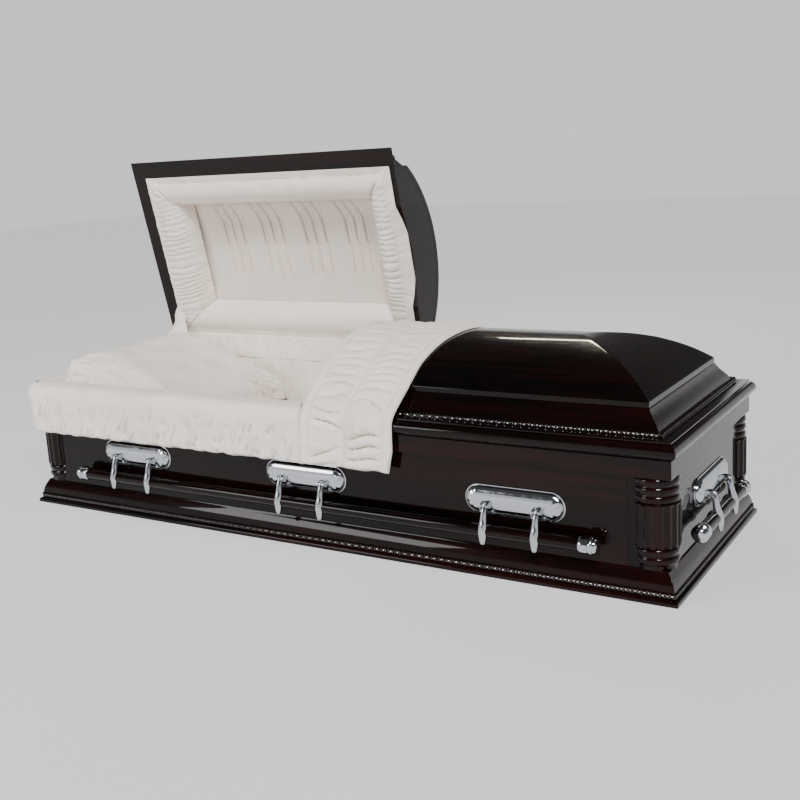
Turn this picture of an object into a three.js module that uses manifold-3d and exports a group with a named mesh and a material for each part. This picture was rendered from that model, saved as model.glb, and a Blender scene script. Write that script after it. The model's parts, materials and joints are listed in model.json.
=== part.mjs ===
// A half-couch wooden casket: fluted corner columns, bullnose top moulding, hipped lids,
// swing-bar handles and a cloth interior. Millimetres, +Z up, +X toward the foot end,
// -Y toward the front, origin at the centre of the underside.
import * as THREE from 'three';
import Module from 'manifold-3d';
import { mergeVertices } from 'three/addons/utils/BufferGeometryUtils.js';

const wasm = await Module();
wasm.setup();

// Driving dimensions of the body
const baseLength = 2134;
const baseWidth = 740;
const baseOverhang = 20;
const baseHeight = 74;
const wallThickness = 18;
const panelRecess = 12;
const boardThickness = 22;
const rimHeight = 384;
const noseHeight = 37;
const friezeHeight = 48;
const noseOverhang = 14.5;
const columnRadius = 57.5;
const columnInset = 52;
const fluteCount = 16;
const fluteDepth = 3;
const wingStart = 45;

// Driving dimensions of the lids
const lidSplit = 28;
const lidGap = 4;
const ledgeThickness = 5;
const ledgeWidth = 27;
const ropeRadius = 6.5;
const rimWidth = 57;
const crownInset = 75;
const slopeRise = 46;
const crownStep = 15;
const crownRise = 105;
const crownThickness = 16;
const headerThickness = 18;
const headerArch = 23;
const openAngle = 77.5;
const hingeOut = 6;
const hingeRise = 3.5;
const knuckleRadius = 4.5;
const hingeMargin = 50;
const knuckleCount = 7;

// Driving dimensions of the cloth
const liningThickness = 15;
const mattressDrop = 144;
const pillowLength = 500;
const pillowWidth = 580;
const pillowHeight = 200;
const pillowWedge = 0.18;
const pillowGap = 12;
const pillowRound = 60;
const clothThickness = 14;
const flapDrop = 141;
const throwWidth = 294;
const throwReach = 60;
const rollWidth = 100;
const rollDepth = 82;
const liningSlab = 22;

// Driving dimensions of the handles
const handleShift = 12;
const plateLength = 272;
const plateHeight = 76;
const plateThickness = 18;
const plateRound = 30;
const outerPlateInset = 231;
const plateDrop = 187;
const armPitch = 140;
const armTail = 32;
const pivotDrop = 9;
const pivotOut = 15;
const pivotRadius = 6.5;
const eyeWidth = 10;
const armWidth = 23;
const armThickness = 17;
const earThickness = 5;
const barDrop = 63;
const barOut = 22;
const barRadius = 17;
const tipRadius = 22.5;
const tipLength = 47;
const sideBarMargin = 179;
const endBarMargin = 135;
const catchPlateSize = [50, 28, 3];

// Named clearances
const fit = 0.4;
const lidClearance = 0.8;
const clothClearance = 1.2;
const armClearance = 0.6;

// Worked out from the values above
const plateCentreHeight = rimHeight - plateDrop;
const pivotHeight = plateCentreHeight - pivotDrop;
const barHeight = pivotHeight - barDrop;
const armBottom = barHeight - armTail;
const noseBottom = rimHeight - noseHeight;
const friezeBottom = noseBottom - friezeHeight;
const mattressTop = rimHeight - mattressDrop;
const flapBottom = rimHeight - flapDrop;
const halfLength = baseLength / 2 - baseOverhang;
const halfWidth = baseWidth / 2 - baseOverhang;
const wallInside = panelRecess + wallThickness;
const lidBottom = rimHeight + lidClearance;
const ledgeTop = lidBottom + ledgeThickness;
const ropeInset = ledgeWidth + ropeRadius;
const slopeInset = ledgeWidth + 2 * ropeRadius;
const slopeBottom = ledgeTop + ropeRadius * 1.6;
const crownBase = slopeBottom + slopeRise;
const crownEdge = crownBase + crownStep;
const crownTop = crownEdge + crownRise;
const crownHalf = halfWidth - crownInset;
const crownRadius = (crownHalf ** 2 + crownRise ** 2) / (2 * crownRise);
const hingeY = halfWidth + hingeOut;
const hingeHeight = rimHeight + hingeRise;
const headCut = lidSplit - lidGap / 2;
const footCut = lidSplit + lidGap / 2;
const sideBarLength = 2 * (halfLength - sideBarMargin);
const endBarLength = 2 * (halfWidth - endBarMargin);
const platePitch = sideBarLength / 2 - outerPlateInset;
const liningInside = wallInside + fit + liningThickness;

const colours = {
  wood: { color: 0x1a0d0b, roughness: 0.12, metalness: 0 },
  chrome: { color: 0xd5d7da, roughness: 0.12, metalness: 1 },
  cloth: { color: 0xe9e2da, roughness: 0.9, metalness: 0 },
};

const casket = new THREE.Group();

// Joining, cutting and checking of closed meshes
function toSolid(geometry) {
  const bare = geometry.clone();
  bare.deleteAttribute('normal');
  bare.deleteAttribute('uv');
  const merged = mergeVertices(bare.index ? bare.toNonIndexed() : bare, 1e-3);
  const corners = merged.index.array;
  const kept = [];
  for (let i = 0; i < corners.length; i += 3) {
    const [a, b, c] = [corners[i], corners[i + 1], corners[i + 2]];
    if (a !== b && b !== c && a !== c) kept.push(a, b, c);
  }
  return new wasm.Manifold(new wasm.Mesh({
    numProp: 3,
    vertProperties: new Float32Array(merged.attributes.position.array),
    triVerts: new Uint32Array(kept),
  }));
}

function toGeometry(solid) {
  const mesh = solid.getMesh();
  const geometry = new THREE.BufferGeometry();
  geometry.setAttribute('position', new THREE.BufferAttribute(new Float32Array(mesh.vertProperties), 3));
  geometry.setIndex(new THREE.BufferAttribute(new Uint32Array(mesh.triVerts), 1));
  return geometry;
}

function join(...geometries) {
  return toGeometry(geometries.map(toSolid).reduce((all, next) => all.add(next)));
}

function cut(geometry, ...tools) {
  return toGeometry(tools.map(toSolid).reduce((all, next) => all.subtract(next), toSolid(geometry)));
}

function box(low, high) {
  const size = high.map((value, i) => value - low[i]);
  const centre = high.map((value, i) => (value + low[i]) / 2);
  return new THREE.BoxGeometry(...size).translate(...centre);
}

function addPart(name, geometry, finish, parent = casket) {
  const part = new THREE.Mesh(geometry, new THREE.MeshStandardMaterial(colours[finish]));
  part.name = name;
  parent.add(part);
  return part;
}

// Profile sweeps round the casket's plan: a profile is a list of [inset, height]
function signedArea(profile) {
  return profile.reduce((sum, [x, y], i) => {
    const [nextX, nextY] = profile[(i + 1) % profile.length];
    return sum + (x * nextY - nextX * y) / 2;
  }, 0);
}

function inwardMitres(path, closed) {
  const count = path.length;
  const inward = (i) => {
    const [ax, ay] = path[i % count];
    const [bx, by] = path[(i + 1) % count];
    const length = Math.hypot(bx - ax, by - ay);
    return [-(by - ay) / length, (bx - ax) / length];
  };
  return path.map((_, i) => {
    const before = closed || i > 0 ? inward((i + count - 1) % count) : inward(0);
    const after = closed || i < count - 1 ? inward(i) : inward(count - 2);
    const share = 1 + before[0] * after[0] + before[1] * after[1];
    return [(before[0] + after[0]) / share, (before[1] + after[1]) / share];
  });
}

function sweep(path, outline, { closed = false, ridge = Infinity } = {}) {
  const profile = signedArea(outline) < 0 ? [...outline].reverse() : outline;
  const mitres = inwardMitres(path, closed);
  const place = (i, j) => {
    const [x, y] = path[i % path.length];
    const [mx, my] = mitres[i % path.length];
    const [inset, height] = profile[j % profile.length];
    return [x + inset * mx, y + inset * my, height];
  };
  const corners = [];
  const runs = closed ? path.length : path.length - 1;
  for (let i = 0; i < runs; i += 1) {
    for (let j = 0; j < profile.length; j += 1) {
      const next = profile[(j + 1) % profile.length];
      const onRidge = profile[j][0] >= ridge - fit / 10 && next[0] >= ridge - fit / 10;
      if (onRidge) continue;
      const [a, b, c, d] = [place(i, j), place(i, j + 1), place(i + 1, j + 1), place(i + 1, j)];
      corners.push(...a, ...b, ...c, ...a, ...c, ...d);
    }
  }
  if (!closed) {
    const points = profile.map(([x, y]) => new THREE.Vector2(x, y));
    for (const [p, q, r] of THREE.ShapeUtils.triangulateShape(points, [])) {
      corners.push(...place(0, r), ...place(0, q), ...place(0, p));
      const last = path.length - 1;
      corners.push(...place(last, p), ...place(last, q), ...place(last, r));
    }
  }
  const geometry = new THREE.BufferGeometry();
  geometry.setAttribute('position', new THREE.Float32BufferAttribute(corners, 3));
  return toGeometry(toSolid(geometry));
}

function arc(centre, radius, fromDegrees, toDegrees, steps) {
  return Array.from({ length: steps + 1 }, (_, i) => {
    const angle = THREE.MathUtils.degToRad(fromDegrees + (toDegrees - fromDegrees) * (i / steps));
    return [centre[0] + radius * Math.cos(angle), centre[1] + radius * Math.sin(angle)];
  });
}

// An outline in the Y-Z plane, made solid from one X to another
function alongX(outline, fromX, toX) {
  const shape = new THREE.Shape(outline.map(([y, z]) => new THREE.Vector2(y, z)));
  const geometry = new THREE.ExtrudeGeometry(shape, { depth: toX - fromX, bevelEnabled: false });
  return geometry.rotateX(Math.PI / 2).rotateZ(Math.PI / 2).translate(fromX, 0, 0);
}

const roundBody = [
  [-halfLength, -halfWidth],
  [halfLength, -halfWidth],
  [halfLength, halfWidth],
  [-halfLength, halfWidth],
];

// Base
const baseTopInset = 9;
const baseProfile = [
  [-baseOverhang, 0],
  [-baseOverhang, 9],
  [-baseOverhang + 4, 13],
  [-10, 15],
  ...arc([-8.5, 22], 6.5, 230, 130, 4),
  [-8, 31],
  [-4.5, 46],
  [2, 62],
  [baseTopInset, baseHeight - fit],
  [wallInside, baseHeight - fit],
  [wallInside, 0],
];
addPart('base_moulding', sweep(roundBody, baseProfile, { closed: true }), 'wood');
const boardX = halfLength - wallInside - fit;
const boardY = halfWidth - wallInside - fit;
addPart('bottom_board', box([-boardX, -boardY, 0], [boardX, boardY, boardThickness]), 'wood');

// Walls between the corner columns
const columnReach = columnInset + columnRadius + fit;
const panelTop = friezeBottom - fit;
const panelX = halfLength - columnReach;
const panelY = halfWidth - columnReach;
const insideX = halfLength - wallInside;
const insideY = halfWidth - wallInside;
const outsideX = halfLength - panelRecess;
const outsideY = halfWidth - panelRecess;
addPart('front_panel', box([-panelX, -outsideY, baseHeight], [panelX, -insideY, panelTop]), 'wood');
addPart('back_panel', box([-panelX, insideY, baseHeight], [panelX, outsideY, panelTop]), 'wood');
addPart('head_end_panel', box([-outsideX, -panelY, baseHeight], [-insideX, panelY, panelTop]), 'wood');
addPart('foot_end_panel', box([insideX, -panelY, baseHeight], [outsideX, panelY, panelTop]), 'wood');

// Fluted corner columns: a round shaft between turned rings, cut back to the inside of the box,
// with a flat wing on each side that meets the end of the panel
const ringPitch = 21;
const ringBulge = 5;
const footHeight = 12;

function flutedShaft(bottom, top) {
  const outline = [];
  const stepsPerFlute = 2;
  for (let i = 0; i < fluteCount * stepsPerFlute; i += 1) {
    const angle = (i / (fluteCount * stepsPerFlute)) * Math.PI * 2;
    const radius = columnRadius - (i % stepsPerFlute === 1 ? fluteDepth : 0);
    outline.push(new THREE.Vector2(Math.cos(angle) * radius, Math.sin(angle) * radius));
  }
  const shaft = new THREE.ExtrudeGeometry(new THREE.Shape(outline), { depth: top - bottom, bevelEnabled: false });
  return shaft.translate(0, 0, bottom);
}

function ringStack(bottom, count, ringRadius) {
  const side = [];
  for (let i = 0; i < count; i += 1) {
    const low = bottom + i * ringPitch;
    side.push([ringRadius - ringBulge, low], [ringRadius, low + ringPitch * 0.3]);
    side.push([ringRadius, low + ringPitch * 0.7]);
  }
  side.push([ringRadius - ringBulge, bottom + count * ringPitch]);
  return side;
}

function columnGeometry() {
  const bottom = baseHeight;
  const top = friezeBottom - fit;
  const shaftBottom = bottom + footHeight + 2 * ringPitch;
  const shaftTop = top - 3 * ringPitch;
  const turned = [
    [0, bottom],
    [columnRadius - 10, bottom],
    [columnRadius - 9, bottom + footHeight],
    ...ringStack(bottom + footHeight, 2, columnRadius - 3),
    [columnRadius - fluteDepth - 3, shaftBottom + fit],
    [columnRadius - fluteDepth - 3, shaftTop - fit],
    ...ringStack(shaftTop, 3, columnRadius - 2),
    [0, top],
  ];
  const points = turned.map(([r, z]) => new THREE.Vector2(r, z));
  const core = new THREE.LatheGeometry(points, 12).rotateX(Math.PI / 2);
  return join(core, flutedShaft(shaftBottom + 1, shaftTop - 1));
}

function addColumn(name, signX, signY) {
  const centreX = signX * (halfLength - columnInset);
  const centreY = signY * (halfWidth - columnInset);
  const column = columnGeometry().translate(centreX, centreY, 0);
  const inside = box([-insideX - fit, -insideY - fit, 0], [insideX + fit, insideY + fit, rimHeight]);
  const wingTop = friezeBottom - fit;
  const wings = [
    [[panelX + fit, insideY + fit], [halfLength - wingStart, outsideY]],
    [[insideX + fit, panelY + fit], [outsideX, halfWidth - wingStart]],
  ].map(([low, high]) => {
    const wing = box([...low, baseHeight], [...high, wingTop]);
    const middle = low.map((value, i) => (value + high[i]) / 2);
    return wing.translate((signX - 1) * middle[0], (signY - 1) * middle[1], 0);
  });
  addPart(name, join(cut(column, inside), ...wings), 'wood');
}

addColumn('front_foot_column', 1, -1);
addColumn('back_foot_column', 1, 1);
addColumn('front_head_column', -1, -1);
addColumn('back_head_column', -1, 1);

// Top moulding: flat frieze band and bullnose, with a shallow rebate for each hinge leaf
const noseRadius = (rimHeight - noseBottom) / 2;
const noseCentre = [noseRadius - noseOverhang, noseBottom + noseRadius];
const topProfile = [
  [0, friezeBottom],
  [0, noseBottom - 2],
  ...arc(noseCentre, noseRadius, 270, 90, 8),
  [wallInside, rimHeight],
  [wallInside, friezeBottom],
];
const headHinge = [-halfLength + hingeMargin, headCut - hingeMargin];
const footHinge = [footCut + hingeMargin, halfLength - hingeMargin];
const leafThickness = 1.4;
const leafWidth = 24;
const rebateFloor = rimHeight - leafThickness - fit;

function rebate([fromX, toX]) {
  const low = [fromX - fit, halfWidth - leafWidth - fit, rebateFloor];
  return box(low, [toX + fit, halfWidth + noseOverhang + 5, rimHeight + 5]);
}

const topFrame = sweep(roundBody, topProfile, { closed: true });
addPart('top_moulding', cut(topFrame, rebate(headHinge), rebate(footHinge)), 'wood');

// Hinges: one long leaf on the body and one on each lid, with knuckles in turn
function knuckles([fromX, toX], startAt) {
  const pitch = (toX - fromX) / knuckleCount;
  const parts = [];
  for (let i = startAt; i < knuckleCount; i += 2) {
    const length = pitch - fit * 2;
    const knuckle = new THREE.CylinderGeometry(knuckleRadius, knuckleRadius, length, 6).rotateZ(Math.PI / 2);
    parts.push(knuckle.translate(fromX + pitch * (i + 0.5), hingeY, hingeHeight));
  }
  return parts;
}

function leafStrip([fromX, toX], startAt, low, high) {
  const pitch = (toX - fromX) / knuckleCount;
  const tabs = knuckles([fromX, toX], startAt);
  const webs = tabs.map((_, i) => {
    const tabFrom = fromX + pitch * (startAt + 2 * i) + fit;
    return box([tabFrom, halfWidth - 1, low], [tabFrom + pitch - fit * 2, hingeY, high]);
  });
  const strip = box([fromX, halfWidth - leafWidth, low], [toX, halfWidth - 0.5, high]);
  return join(strip, ...webs, ...tabs);
}

function addBodyLeaf(name, span) {
  addPart(name, leafStrip(span, 0, rebateFloor + fit / 2, rebateFloor + fit / 2 + leafThickness), 'chrome');
}

addBodyLeaf('head_hinge_body_leaf', headHinge);
addBodyLeaf('foot_hinge_body_leaf', footHinge);

// Cloth inside the body
const ring = (inset) => [
  [-halfLength + inset, -halfWidth + inset],
  [halfLength - inset, -halfWidth + inset],
  [halfLength - inset, halfWidth - inset],
  [-halfLength + inset, halfWidth - inset],
];
const liningBelow = 40;
const liningProfile = [
  [0, mattressTop - liningBelow],
  [liningThickness, mattressTop - liningBelow],
  [liningThickness, rimHeight - 10],
  [liningThickness - 5, rimHeight - 4],
  [0, rimHeight - 4],
];
addPart('body_lining', sweep(ring(wallInside + fit), liningProfile, { closed: true }), 'cloth');

function cushion(sizeX, sizeY, sizeZ, round) {
  const shape = new THREE.Shape();
  const [hx, hy, r] = [sizeX / 2, sizeY / 2, round];
  shape.moveTo(-hx + r, -hy);
  shape.lineTo(hx - r, -hy);
  shape.absarc(hx - r, -hy + r, r, -Math.PI / 2, 0);
  shape.lineTo(hx, hy - r);
  shape.absarc(hx - r, hy - r, r, 0, Math.PI / 2);
  shape.lineTo(-hx + r, hy);
  shape.absarc(-hx + r, hy - r, r, Math.PI / 2, Math.PI);
  shape.lineTo(-hx, -hy + r);
  shape.absarc(-hx + r, -hy + r, r, Math.PI, Math.PI * 1.5);
  const bevel = Math.min(sizeZ * 0.45, round);
  const options = {
    depth: sizeZ - 2 * bevel,
    curveSegments: 2,
    bevelThickness: bevel,
    bevelSize: bevel * 0.9,
    bevelOffset: -bevel * 0.9,
    bevelSegments: 2,
  };
  return new THREE.ExtrudeGeometry(shape, options).translate(0, 0, bevel);
}

const mattressFloor = boardThickness + fit;
const mattressLength = 2 * (halfLength - wallInside - 2 * fit);
const mattressWidth = 2 * (halfWidth - wallInside - 2 * fit);
const padDepth = 60;
const padRound = 18;
const padMargin = 2 * liningThickness + 4;
const mattressBody = mattressTop - liningBelow - 5 - mattressFloor;
const mattressPad = cushion(mattressLength - padMargin, mattressWidth - padMargin, padDepth, padRound);
const mattressBase = box(
  [-mattressLength / 2, -mattressWidth / 2, mattressFloor],
  [mattressLength / 2, mattressWidth / 2, mattressFloor + mattressBody],
);
addPart('mattress', join(mattressBase, mattressPad.translate(0, 0, mattressTop - padDepth)), 'cloth');

// The pillow is thicker toward the head end
function pillowGeometry() {
  const geometry = cushion(pillowLength, pillowWidth, pillowHeight, pillowRound);
  const places = geometry.attributes.position;
  for (let i = 0; i < places.count; i += 1) {
    const towardHead = -places.getX(i) / (pillowLength / 2);
    places.setZ(i, places.getZ(i) * (1 + pillowWedge * towardHead));
  }
  return geometry;
}

const pillowX = -halfLength + liningInside + pillowGap + pillowLength / 2;
const pillow = addPart('pillow', pillowGeometry(), 'cloth');
pillow.position.set(pillowX, 0, mattressTop + fit);

// Extendover: a padded flap over the front edge, and over the head-end edge with no hang
const flapInner = noseOverhang + clothClearance;
const flapOuter = flapInner + clothThickness;
const overEdge = [
  [-flapInner, noseBottom + 6],
  [-flapOuter, noseBottom + 6],
  [-flapOuter - 3, rimHeight - 6],
  [-flapOuter + 8, rimHeight + 10],
  [4, rimHeight + 20],
  [32, rimHeight + 18],
  [liningInside + 10, rimHeight + 4],
  [liningInside + 10, rimHeight + clothClearance],
  [4, rimHeight + clothClearance],
  [-7, rimHeight],
  [-13.5, rimHeight - 5],
  [-flapInner, rimHeight - 13],
];
const hangingFlap = [
  [-flapInner, flapBottom],
  [-flapOuter, flapBottom],
  [-flapOuter - 2, noseBottom + 20],
  [-flapInner, noseBottom + 20],
];
const flapEnd = headCut - 6;
const flapPath = [[-halfLength, halfWidth - 60], [-halfLength, -halfWidth], [flapEnd, -halfWidth]];
const frontPath = [[-halfLength + 20, -halfWidth], [flapEnd, -halfWidth]];
addPart('extendover', join(sweep(flapPath, overEdge), sweep(frontPath, hangingFlap)), 'cloth');

// Lid sections
function crownArc(offset, steps) {
  const radius = crownRadius + offset;
  const centreHeight = crownTop - crownRadius;
  const half = crownHalf + offset;
  return Array.from({ length: steps + 1 }, (_, i) => {
    const y = half * (1 - i / steps);
    return [halfWidth - y, centreHeight + Math.sqrt(radius ** 2 - y ** 2)];
  });
}

const rimInside = [
  [crownInset + crownThickness, crownBase - fit],
  [rimWidth + 4, slopeBottom + slopeRise * 0.17],
  [rimWidth, slopeBottom],
  [rimWidth, lidBottom],
];
const rimProfile = [
  [0, lidBottom],
  [0, ledgeTop - 1.5],
  [1.5, ledgeTop],
  [ledgeWidth, ledgeTop],
  ...arc([ropeInset, ledgeTop + ropeRadius * 0.7], ropeRadius, 200, 50, 5),
  [slopeInset, slopeBottom],
  [(slopeInset + crownInset) / 2, slopeBottom + slopeRise * 0.42],
  [crownInset - 1.5, crownBase - fit],
  ...rimInside,
];
const crownSegments = 9;
const crownProfile = [
  [crownInset, crownBase],
  ...crownArc(0, crownSegments),
  ...crownArc(-crownThickness, crownSegments - 1).reverse(),
  [crownInset + crownThickness, crownBase],
];

function lidPath(cutX, endX) {
  const out = Math.sign(endX - cutX);
  const sides = [[cutX, -halfWidth], [endX, -halfWidth], [endX, halfWidth], [cutX, halfWidth]];
  return out > 0 ? sides : sides.map(([x, y]) => [x, -y]);
}

function headerOutline() {
  const top = crownArc(-crownThickness - fit, 8);
  const left = [
    ...rimInside.map(([inset, z]) => [inset + fit * 1.5, z]).reverse(),
    ...top,
  ];
  const half = left.map(([inset, z]) => [inset - halfWidth, z]);
  const mirrored = half.slice(0, -1).reverse().map(([y, z]) => [-y, z]);
  const archHalf = 165;
  const archSteps = 6;
  const arch = Array.from({ length: archSteps + 1 }, (_, i) => {
    const share = i / archSteps;
    return [archHalf - 2 * archHalf * share, lidBottom + fit + headerArch * Math.sin(Math.PI * share)];
  });
  return [...half, ...mirrored, ...arch];
}

// Catch plate, let into the underside of the head lid's front rim
const [plateX, plateY, plateZ] = catchPlateSize;
const catchY = -halfWidth + rimWidth / 2;
const catchCentre = (headCut - halfLength) / 2;
const catchLow = [catchCentre - plateX / 2, catchY - plateY / 2, lidBottom + fit / 2];
const catchHigh = [catchCentre + plateX / 2, catchY + plateY / 2, lidBottom + fit / 2 + plateZ];
const catchPocket = box(
  [catchLow[0] - fit, catchLow[1] - fit, lidBottom - 1],
  catchHigh.map((value) => value + fit),
);

// Lining of a lid: a slab that follows the crown, inside a padded roll on four sides
const panelHeight = lidBottom + rollDepth;

function liningSlabGeometry(fromX, toX) {
  const halfPanel = halfWidth - rimWidth - rollWidth - fit;
  const rise = 14;
  const steps = 6;
  const lower = Array.from({ length: steps + 1 }, (_, i) => {
    const share = i / steps;
    return [-halfPanel + 2 * halfPanel * share, panelHeight - 20 + rise * Math.sin(Math.PI * share)];
  });
  const upper = lower.map(([y, z]) => [y, z + liningSlab]).reverse();
  return alongX([...lower, ...upper], fromX, toX);
}

function rollProfile() {
  return [
    [fit, lidBottom + 2],
    [14, lidBottom - 6],
    [46, lidBottom - 9],
    [74, lidBottom + 10],
    [92, lidBottom + 38],
    [rollWidth, panelHeight - 22],
    [rollWidth, panelHeight - 4],
    [rollWidth - 38, panelHeight],
    [38, crownBase - 6],
    [4, slopeBottom + slopeRise * 0.1],
    [fit, slopeBottom - 2],
  ];
}

function addLid(prefix, cutX, endX, hingeSpan, openDegrees, pockets = []) {
  const lid = new THREE.Group();
  const toEnd = Math.sign(endX - cutX);
  const pivot = new THREE.Vector3(0, hingeY, hingeHeight);
  const angle = -THREE.MathUtils.degToRad(openDegrees);
  lid.position.copy(pivot.clone().sub(pivot.clone().applyAxisAngle(new THREE.Vector3(1, 0, 0), angle)));
  lid.rotation.x = angle;
  casket.add(lid);
  const path = lidPath(cutX, endX);
  addPart(`${prefix}_rim`, cut(sweep(path, rimProfile), ...pockets), 'wood', lid);
  addPart(`${prefix}_crown`, sweep(path, crownProfile, { ridge: halfWidth }), 'wood', lid);
  const headerFar = cutX + toEnd * headerThickness;
  const header = alongX(headerOutline(), Math.min(cutX, headerFar), Math.max(cutX, headerFar));
  addPart(`${prefix}_header`, header, 'wood', lid);
  const rollFar = endX - toEnd * rimWidth;
  const rollNear = headerFar + toEnd * fit;
  const lowX = Math.min(rollFar, rollNear);
  const highX = Math.max(rollFar, rollNear);
  const rollY = halfWidth - rimWidth;
  const rollPath = [[lowX, -rollY], [highX, -rollY], [highX, rollY], [lowX, rollY]];
  addPart(`${prefix}_roll`, sweep(rollPath, rollProfile(), { closed: true }), 'cloth', lid);
  const slab = liningSlabGeometry(lowX + rollWidth + fit, highX - rollWidth - fit);
  addPart(`${prefix}_lining`, slab, 'cloth', lid);
  const leafLow = ledgeTop + fit;
  addPart(`${prefix}_hinge_leaf`, leafStrip(hingeSpan, 1, leafLow, leafLow + leafThickness), 'chrome', lid);
  return lid;
}

const headLid = addLid('head_lid', headCut, -halfLength, headHinge, openAngle, [catchPocket]);
const footLid = addLid('foot_lid', footCut, halfLength, footHinge, 0);

addPart('catch_plate', box(catchLow, catchHigh), 'chrome', headLid);

// Throw: a cloth strip from the crown down the front of the foot lid
function throwOutline() {
  const start = halfWidth + throwReach;
  const onCrown = crownArc(0, 10).filter(([inset]) => inset > crownInset + 1);
  const beyond = crownArc(0, 10).slice(0, -1).map(([inset, z]) => [2 * halfWidth - inset, z]).reverse();
  const over = [...onCrown, ...beyond.filter(([inset]) => inset < start)];
  const under = [
    [-flapInner, flapBottom],
    [-flapInner, rimHeight - 8],
    [-6, ledgeTop + clothClearance],
    [ledgeWidth - 4, ledgeTop + clothClearance + 1],
    [ropeInset - 6, ledgeTop + 2 * ropeRadius + 1],
    [slopeInset - 2, slopeBottom + 8],
    [crownInset - 6, crownBase - 1],
    [crownInset - 2, crownEdge + 2],
    ...over.map(([inset, z]) => [inset, z + clothClearance]),
  ];
  const top = [
    [-flapOuter, flapBottom],
    [-flapOuter, rimHeight],
    [-14, ledgeTop + clothThickness + 2],
    [ledgeWidth - 12, ledgeTop + clothThickness + 4],
    [ropeInset - 15, ledgeTop + 2 * ropeRadius + 12],
    [crownInset - 18, crownBase + 4],
    [crownInset - 10, crownEdge + 12],
    ...over.map(([inset, z]) => [inset, z + clothThickness]),
  ];
  return [...under, ...top.reverse()].map(([inset, z]) => [inset - halfWidth, z]);
}

const throwFrom = footCut + 1;
addPart('throw', alongX(throwOutline(), throwFrom, throwFrom + throwWidth), 'cloth', footLid);

// Handles, made for a wall that faces -Y and turned to each side
function stadium(length, height) {
  const r = height / 2;
  const straight = length / 2 - r;
  const shape = new THREE.Shape();
  shape.moveTo(-straight, -r);
  shape.lineTo(straight, -r);
  shape.absarc(straight, 0, r, -Math.PI / 2, Math.PI / 2);
  shape.lineTo(-straight, r);
  shape.absarc(-straight, 0, r, Math.PI / 2, Math.PI * 1.5);
  return shape;
}

const earOffset = eyeWidth / 2 + armClearance + earThickness / 2;

function plateGeometry() {
  const rimThickness = 2;
  const domeRise = plateThickness - rimThickness;
  const earRoot = panelRecess - plateThickness + 4;
  const earOutline = [
    ...arc([-pivotOut, pivotHeight], pivotRadius, 90, 270, 4),
    [earRoot, pivotHeight - pivotRadius],
    [earRoot, pivotHeight + pivotRadius],
  ];
  const options = {
    depth: rimThickness,
    curveSegments: 3,
    bevelThickness: domeRise,
    bevelSize: plateRound,
    bevelOffset: -plateRound,
    bevelSegments: 2,
  };
  const dome = new THREE.ExtrudeGeometry(stadium(plateLength, plateHeight), options);
  const back = box([-plateLength, -plateHeight, -domeRise * 2], [plateLength, plateHeight, 0]);
  const plate = cut(dome, back).rotateX(Math.PI / 2).translate(0, panelRecess - fit, plateCentreHeight);
  const ears = [];
  for (const side of [-1, 1]) {
    for (const flank of [-1, 1]) {
      const x = (side * armPitch) / 2 + flank * earOffset;
      ears.push(alongX(earOutline, x - earThickness / 2, x + earThickness / 2));
    }
  }
  return join(plate, ...ears);
}

// An arm hangs from its eye, is widest at the seat that holds the bar, and tapers below
function armGeometry() {
  const stations = [
    { out: pivotOut + 2, z: pivotHeight - 1, width: eyeWidth * 0.92, depth: pivotRadius * 1.5 },
    { out: pivotOut + 6, z: pivotHeight - 13, width: armWidth * 0.7, depth: armThickness * 0.75 },
    { out: barOut + 5, z: barHeight + barRadius + 6, width: armWidth * 0.9, depth: armThickness },
    { out: barOut + 10, z: barHeight, width: armWidth, depth: armThickness * 1.4 },
    { out: barOut + 12, z: barHeight - barRadius, width: armWidth * 0.86, depth: armThickness },
    { out: barOut + 14, z: armBottom, width: armWidth * 0.55, depth: armThickness * 0.45 },
  ];
  const sides = 6;
  const corners = [];
  const rows = stations.map(({ out, z, width, depth }, i) => {
    const before = stations[Math.max(i - 1, 0)];
    const after = stations[Math.min(i + 1, stations.length - 1)];
    const along = new THREE.Vector2(after.out - before.out, after.z - before.z).normalize();
    return Array.from({ length: sides }, (_, k) => {
      const angle = ((k + 0.5) / sides) * Math.PI * 2;
      const across = Math.sin(angle) * depth * 0.54;
      return [Math.cos(angle) * width * 0.54, -(out - along.y * across), z - -along.x * across];
    });
  });
  for (let i = 0; i + 1 < rows.length; i += 1) {
    for (let k = 0; k < sides; k += 1) {
      const next = (k + 1) % sides;
      const [a, b, c, d] = [rows[i][k], rows[i][next], rows[i + 1][next], rows[i + 1][k]];
      corners.push(...a, ...b, ...c, ...a, ...c, ...d);
    }
  }
  const last = rows.length - 1;
  for (let k = 1; k + 1 < sides; k += 1) {
    corners.push(...rows[0][0], ...rows[0][k + 1], ...rows[0][k]);
    corners.push(...rows[last][0], ...rows[last][k], ...rows[last][k + 1]);
  }
  const blade = new THREE.BufferGeometry();
  blade.setAttribute('position', new THREE.Float32BufferAttribute(corners, 3));
  const acrossArm = (radius, width, steps, out, z) =>
    new THREE.CylinderGeometry(radius, radius, width, steps).rotateZ(Math.PI / 2).translate(0, -out, z);
  const eye = acrossArm(pivotRadius, eyeWidth, 6, pivotOut, pivotHeight);
  const barSeat = acrossArm(barRadius + fit * 4, armWidth * 2, 8, barOut, barHeight);
  return cut(join(blade, eye), barSeat);
}

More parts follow.
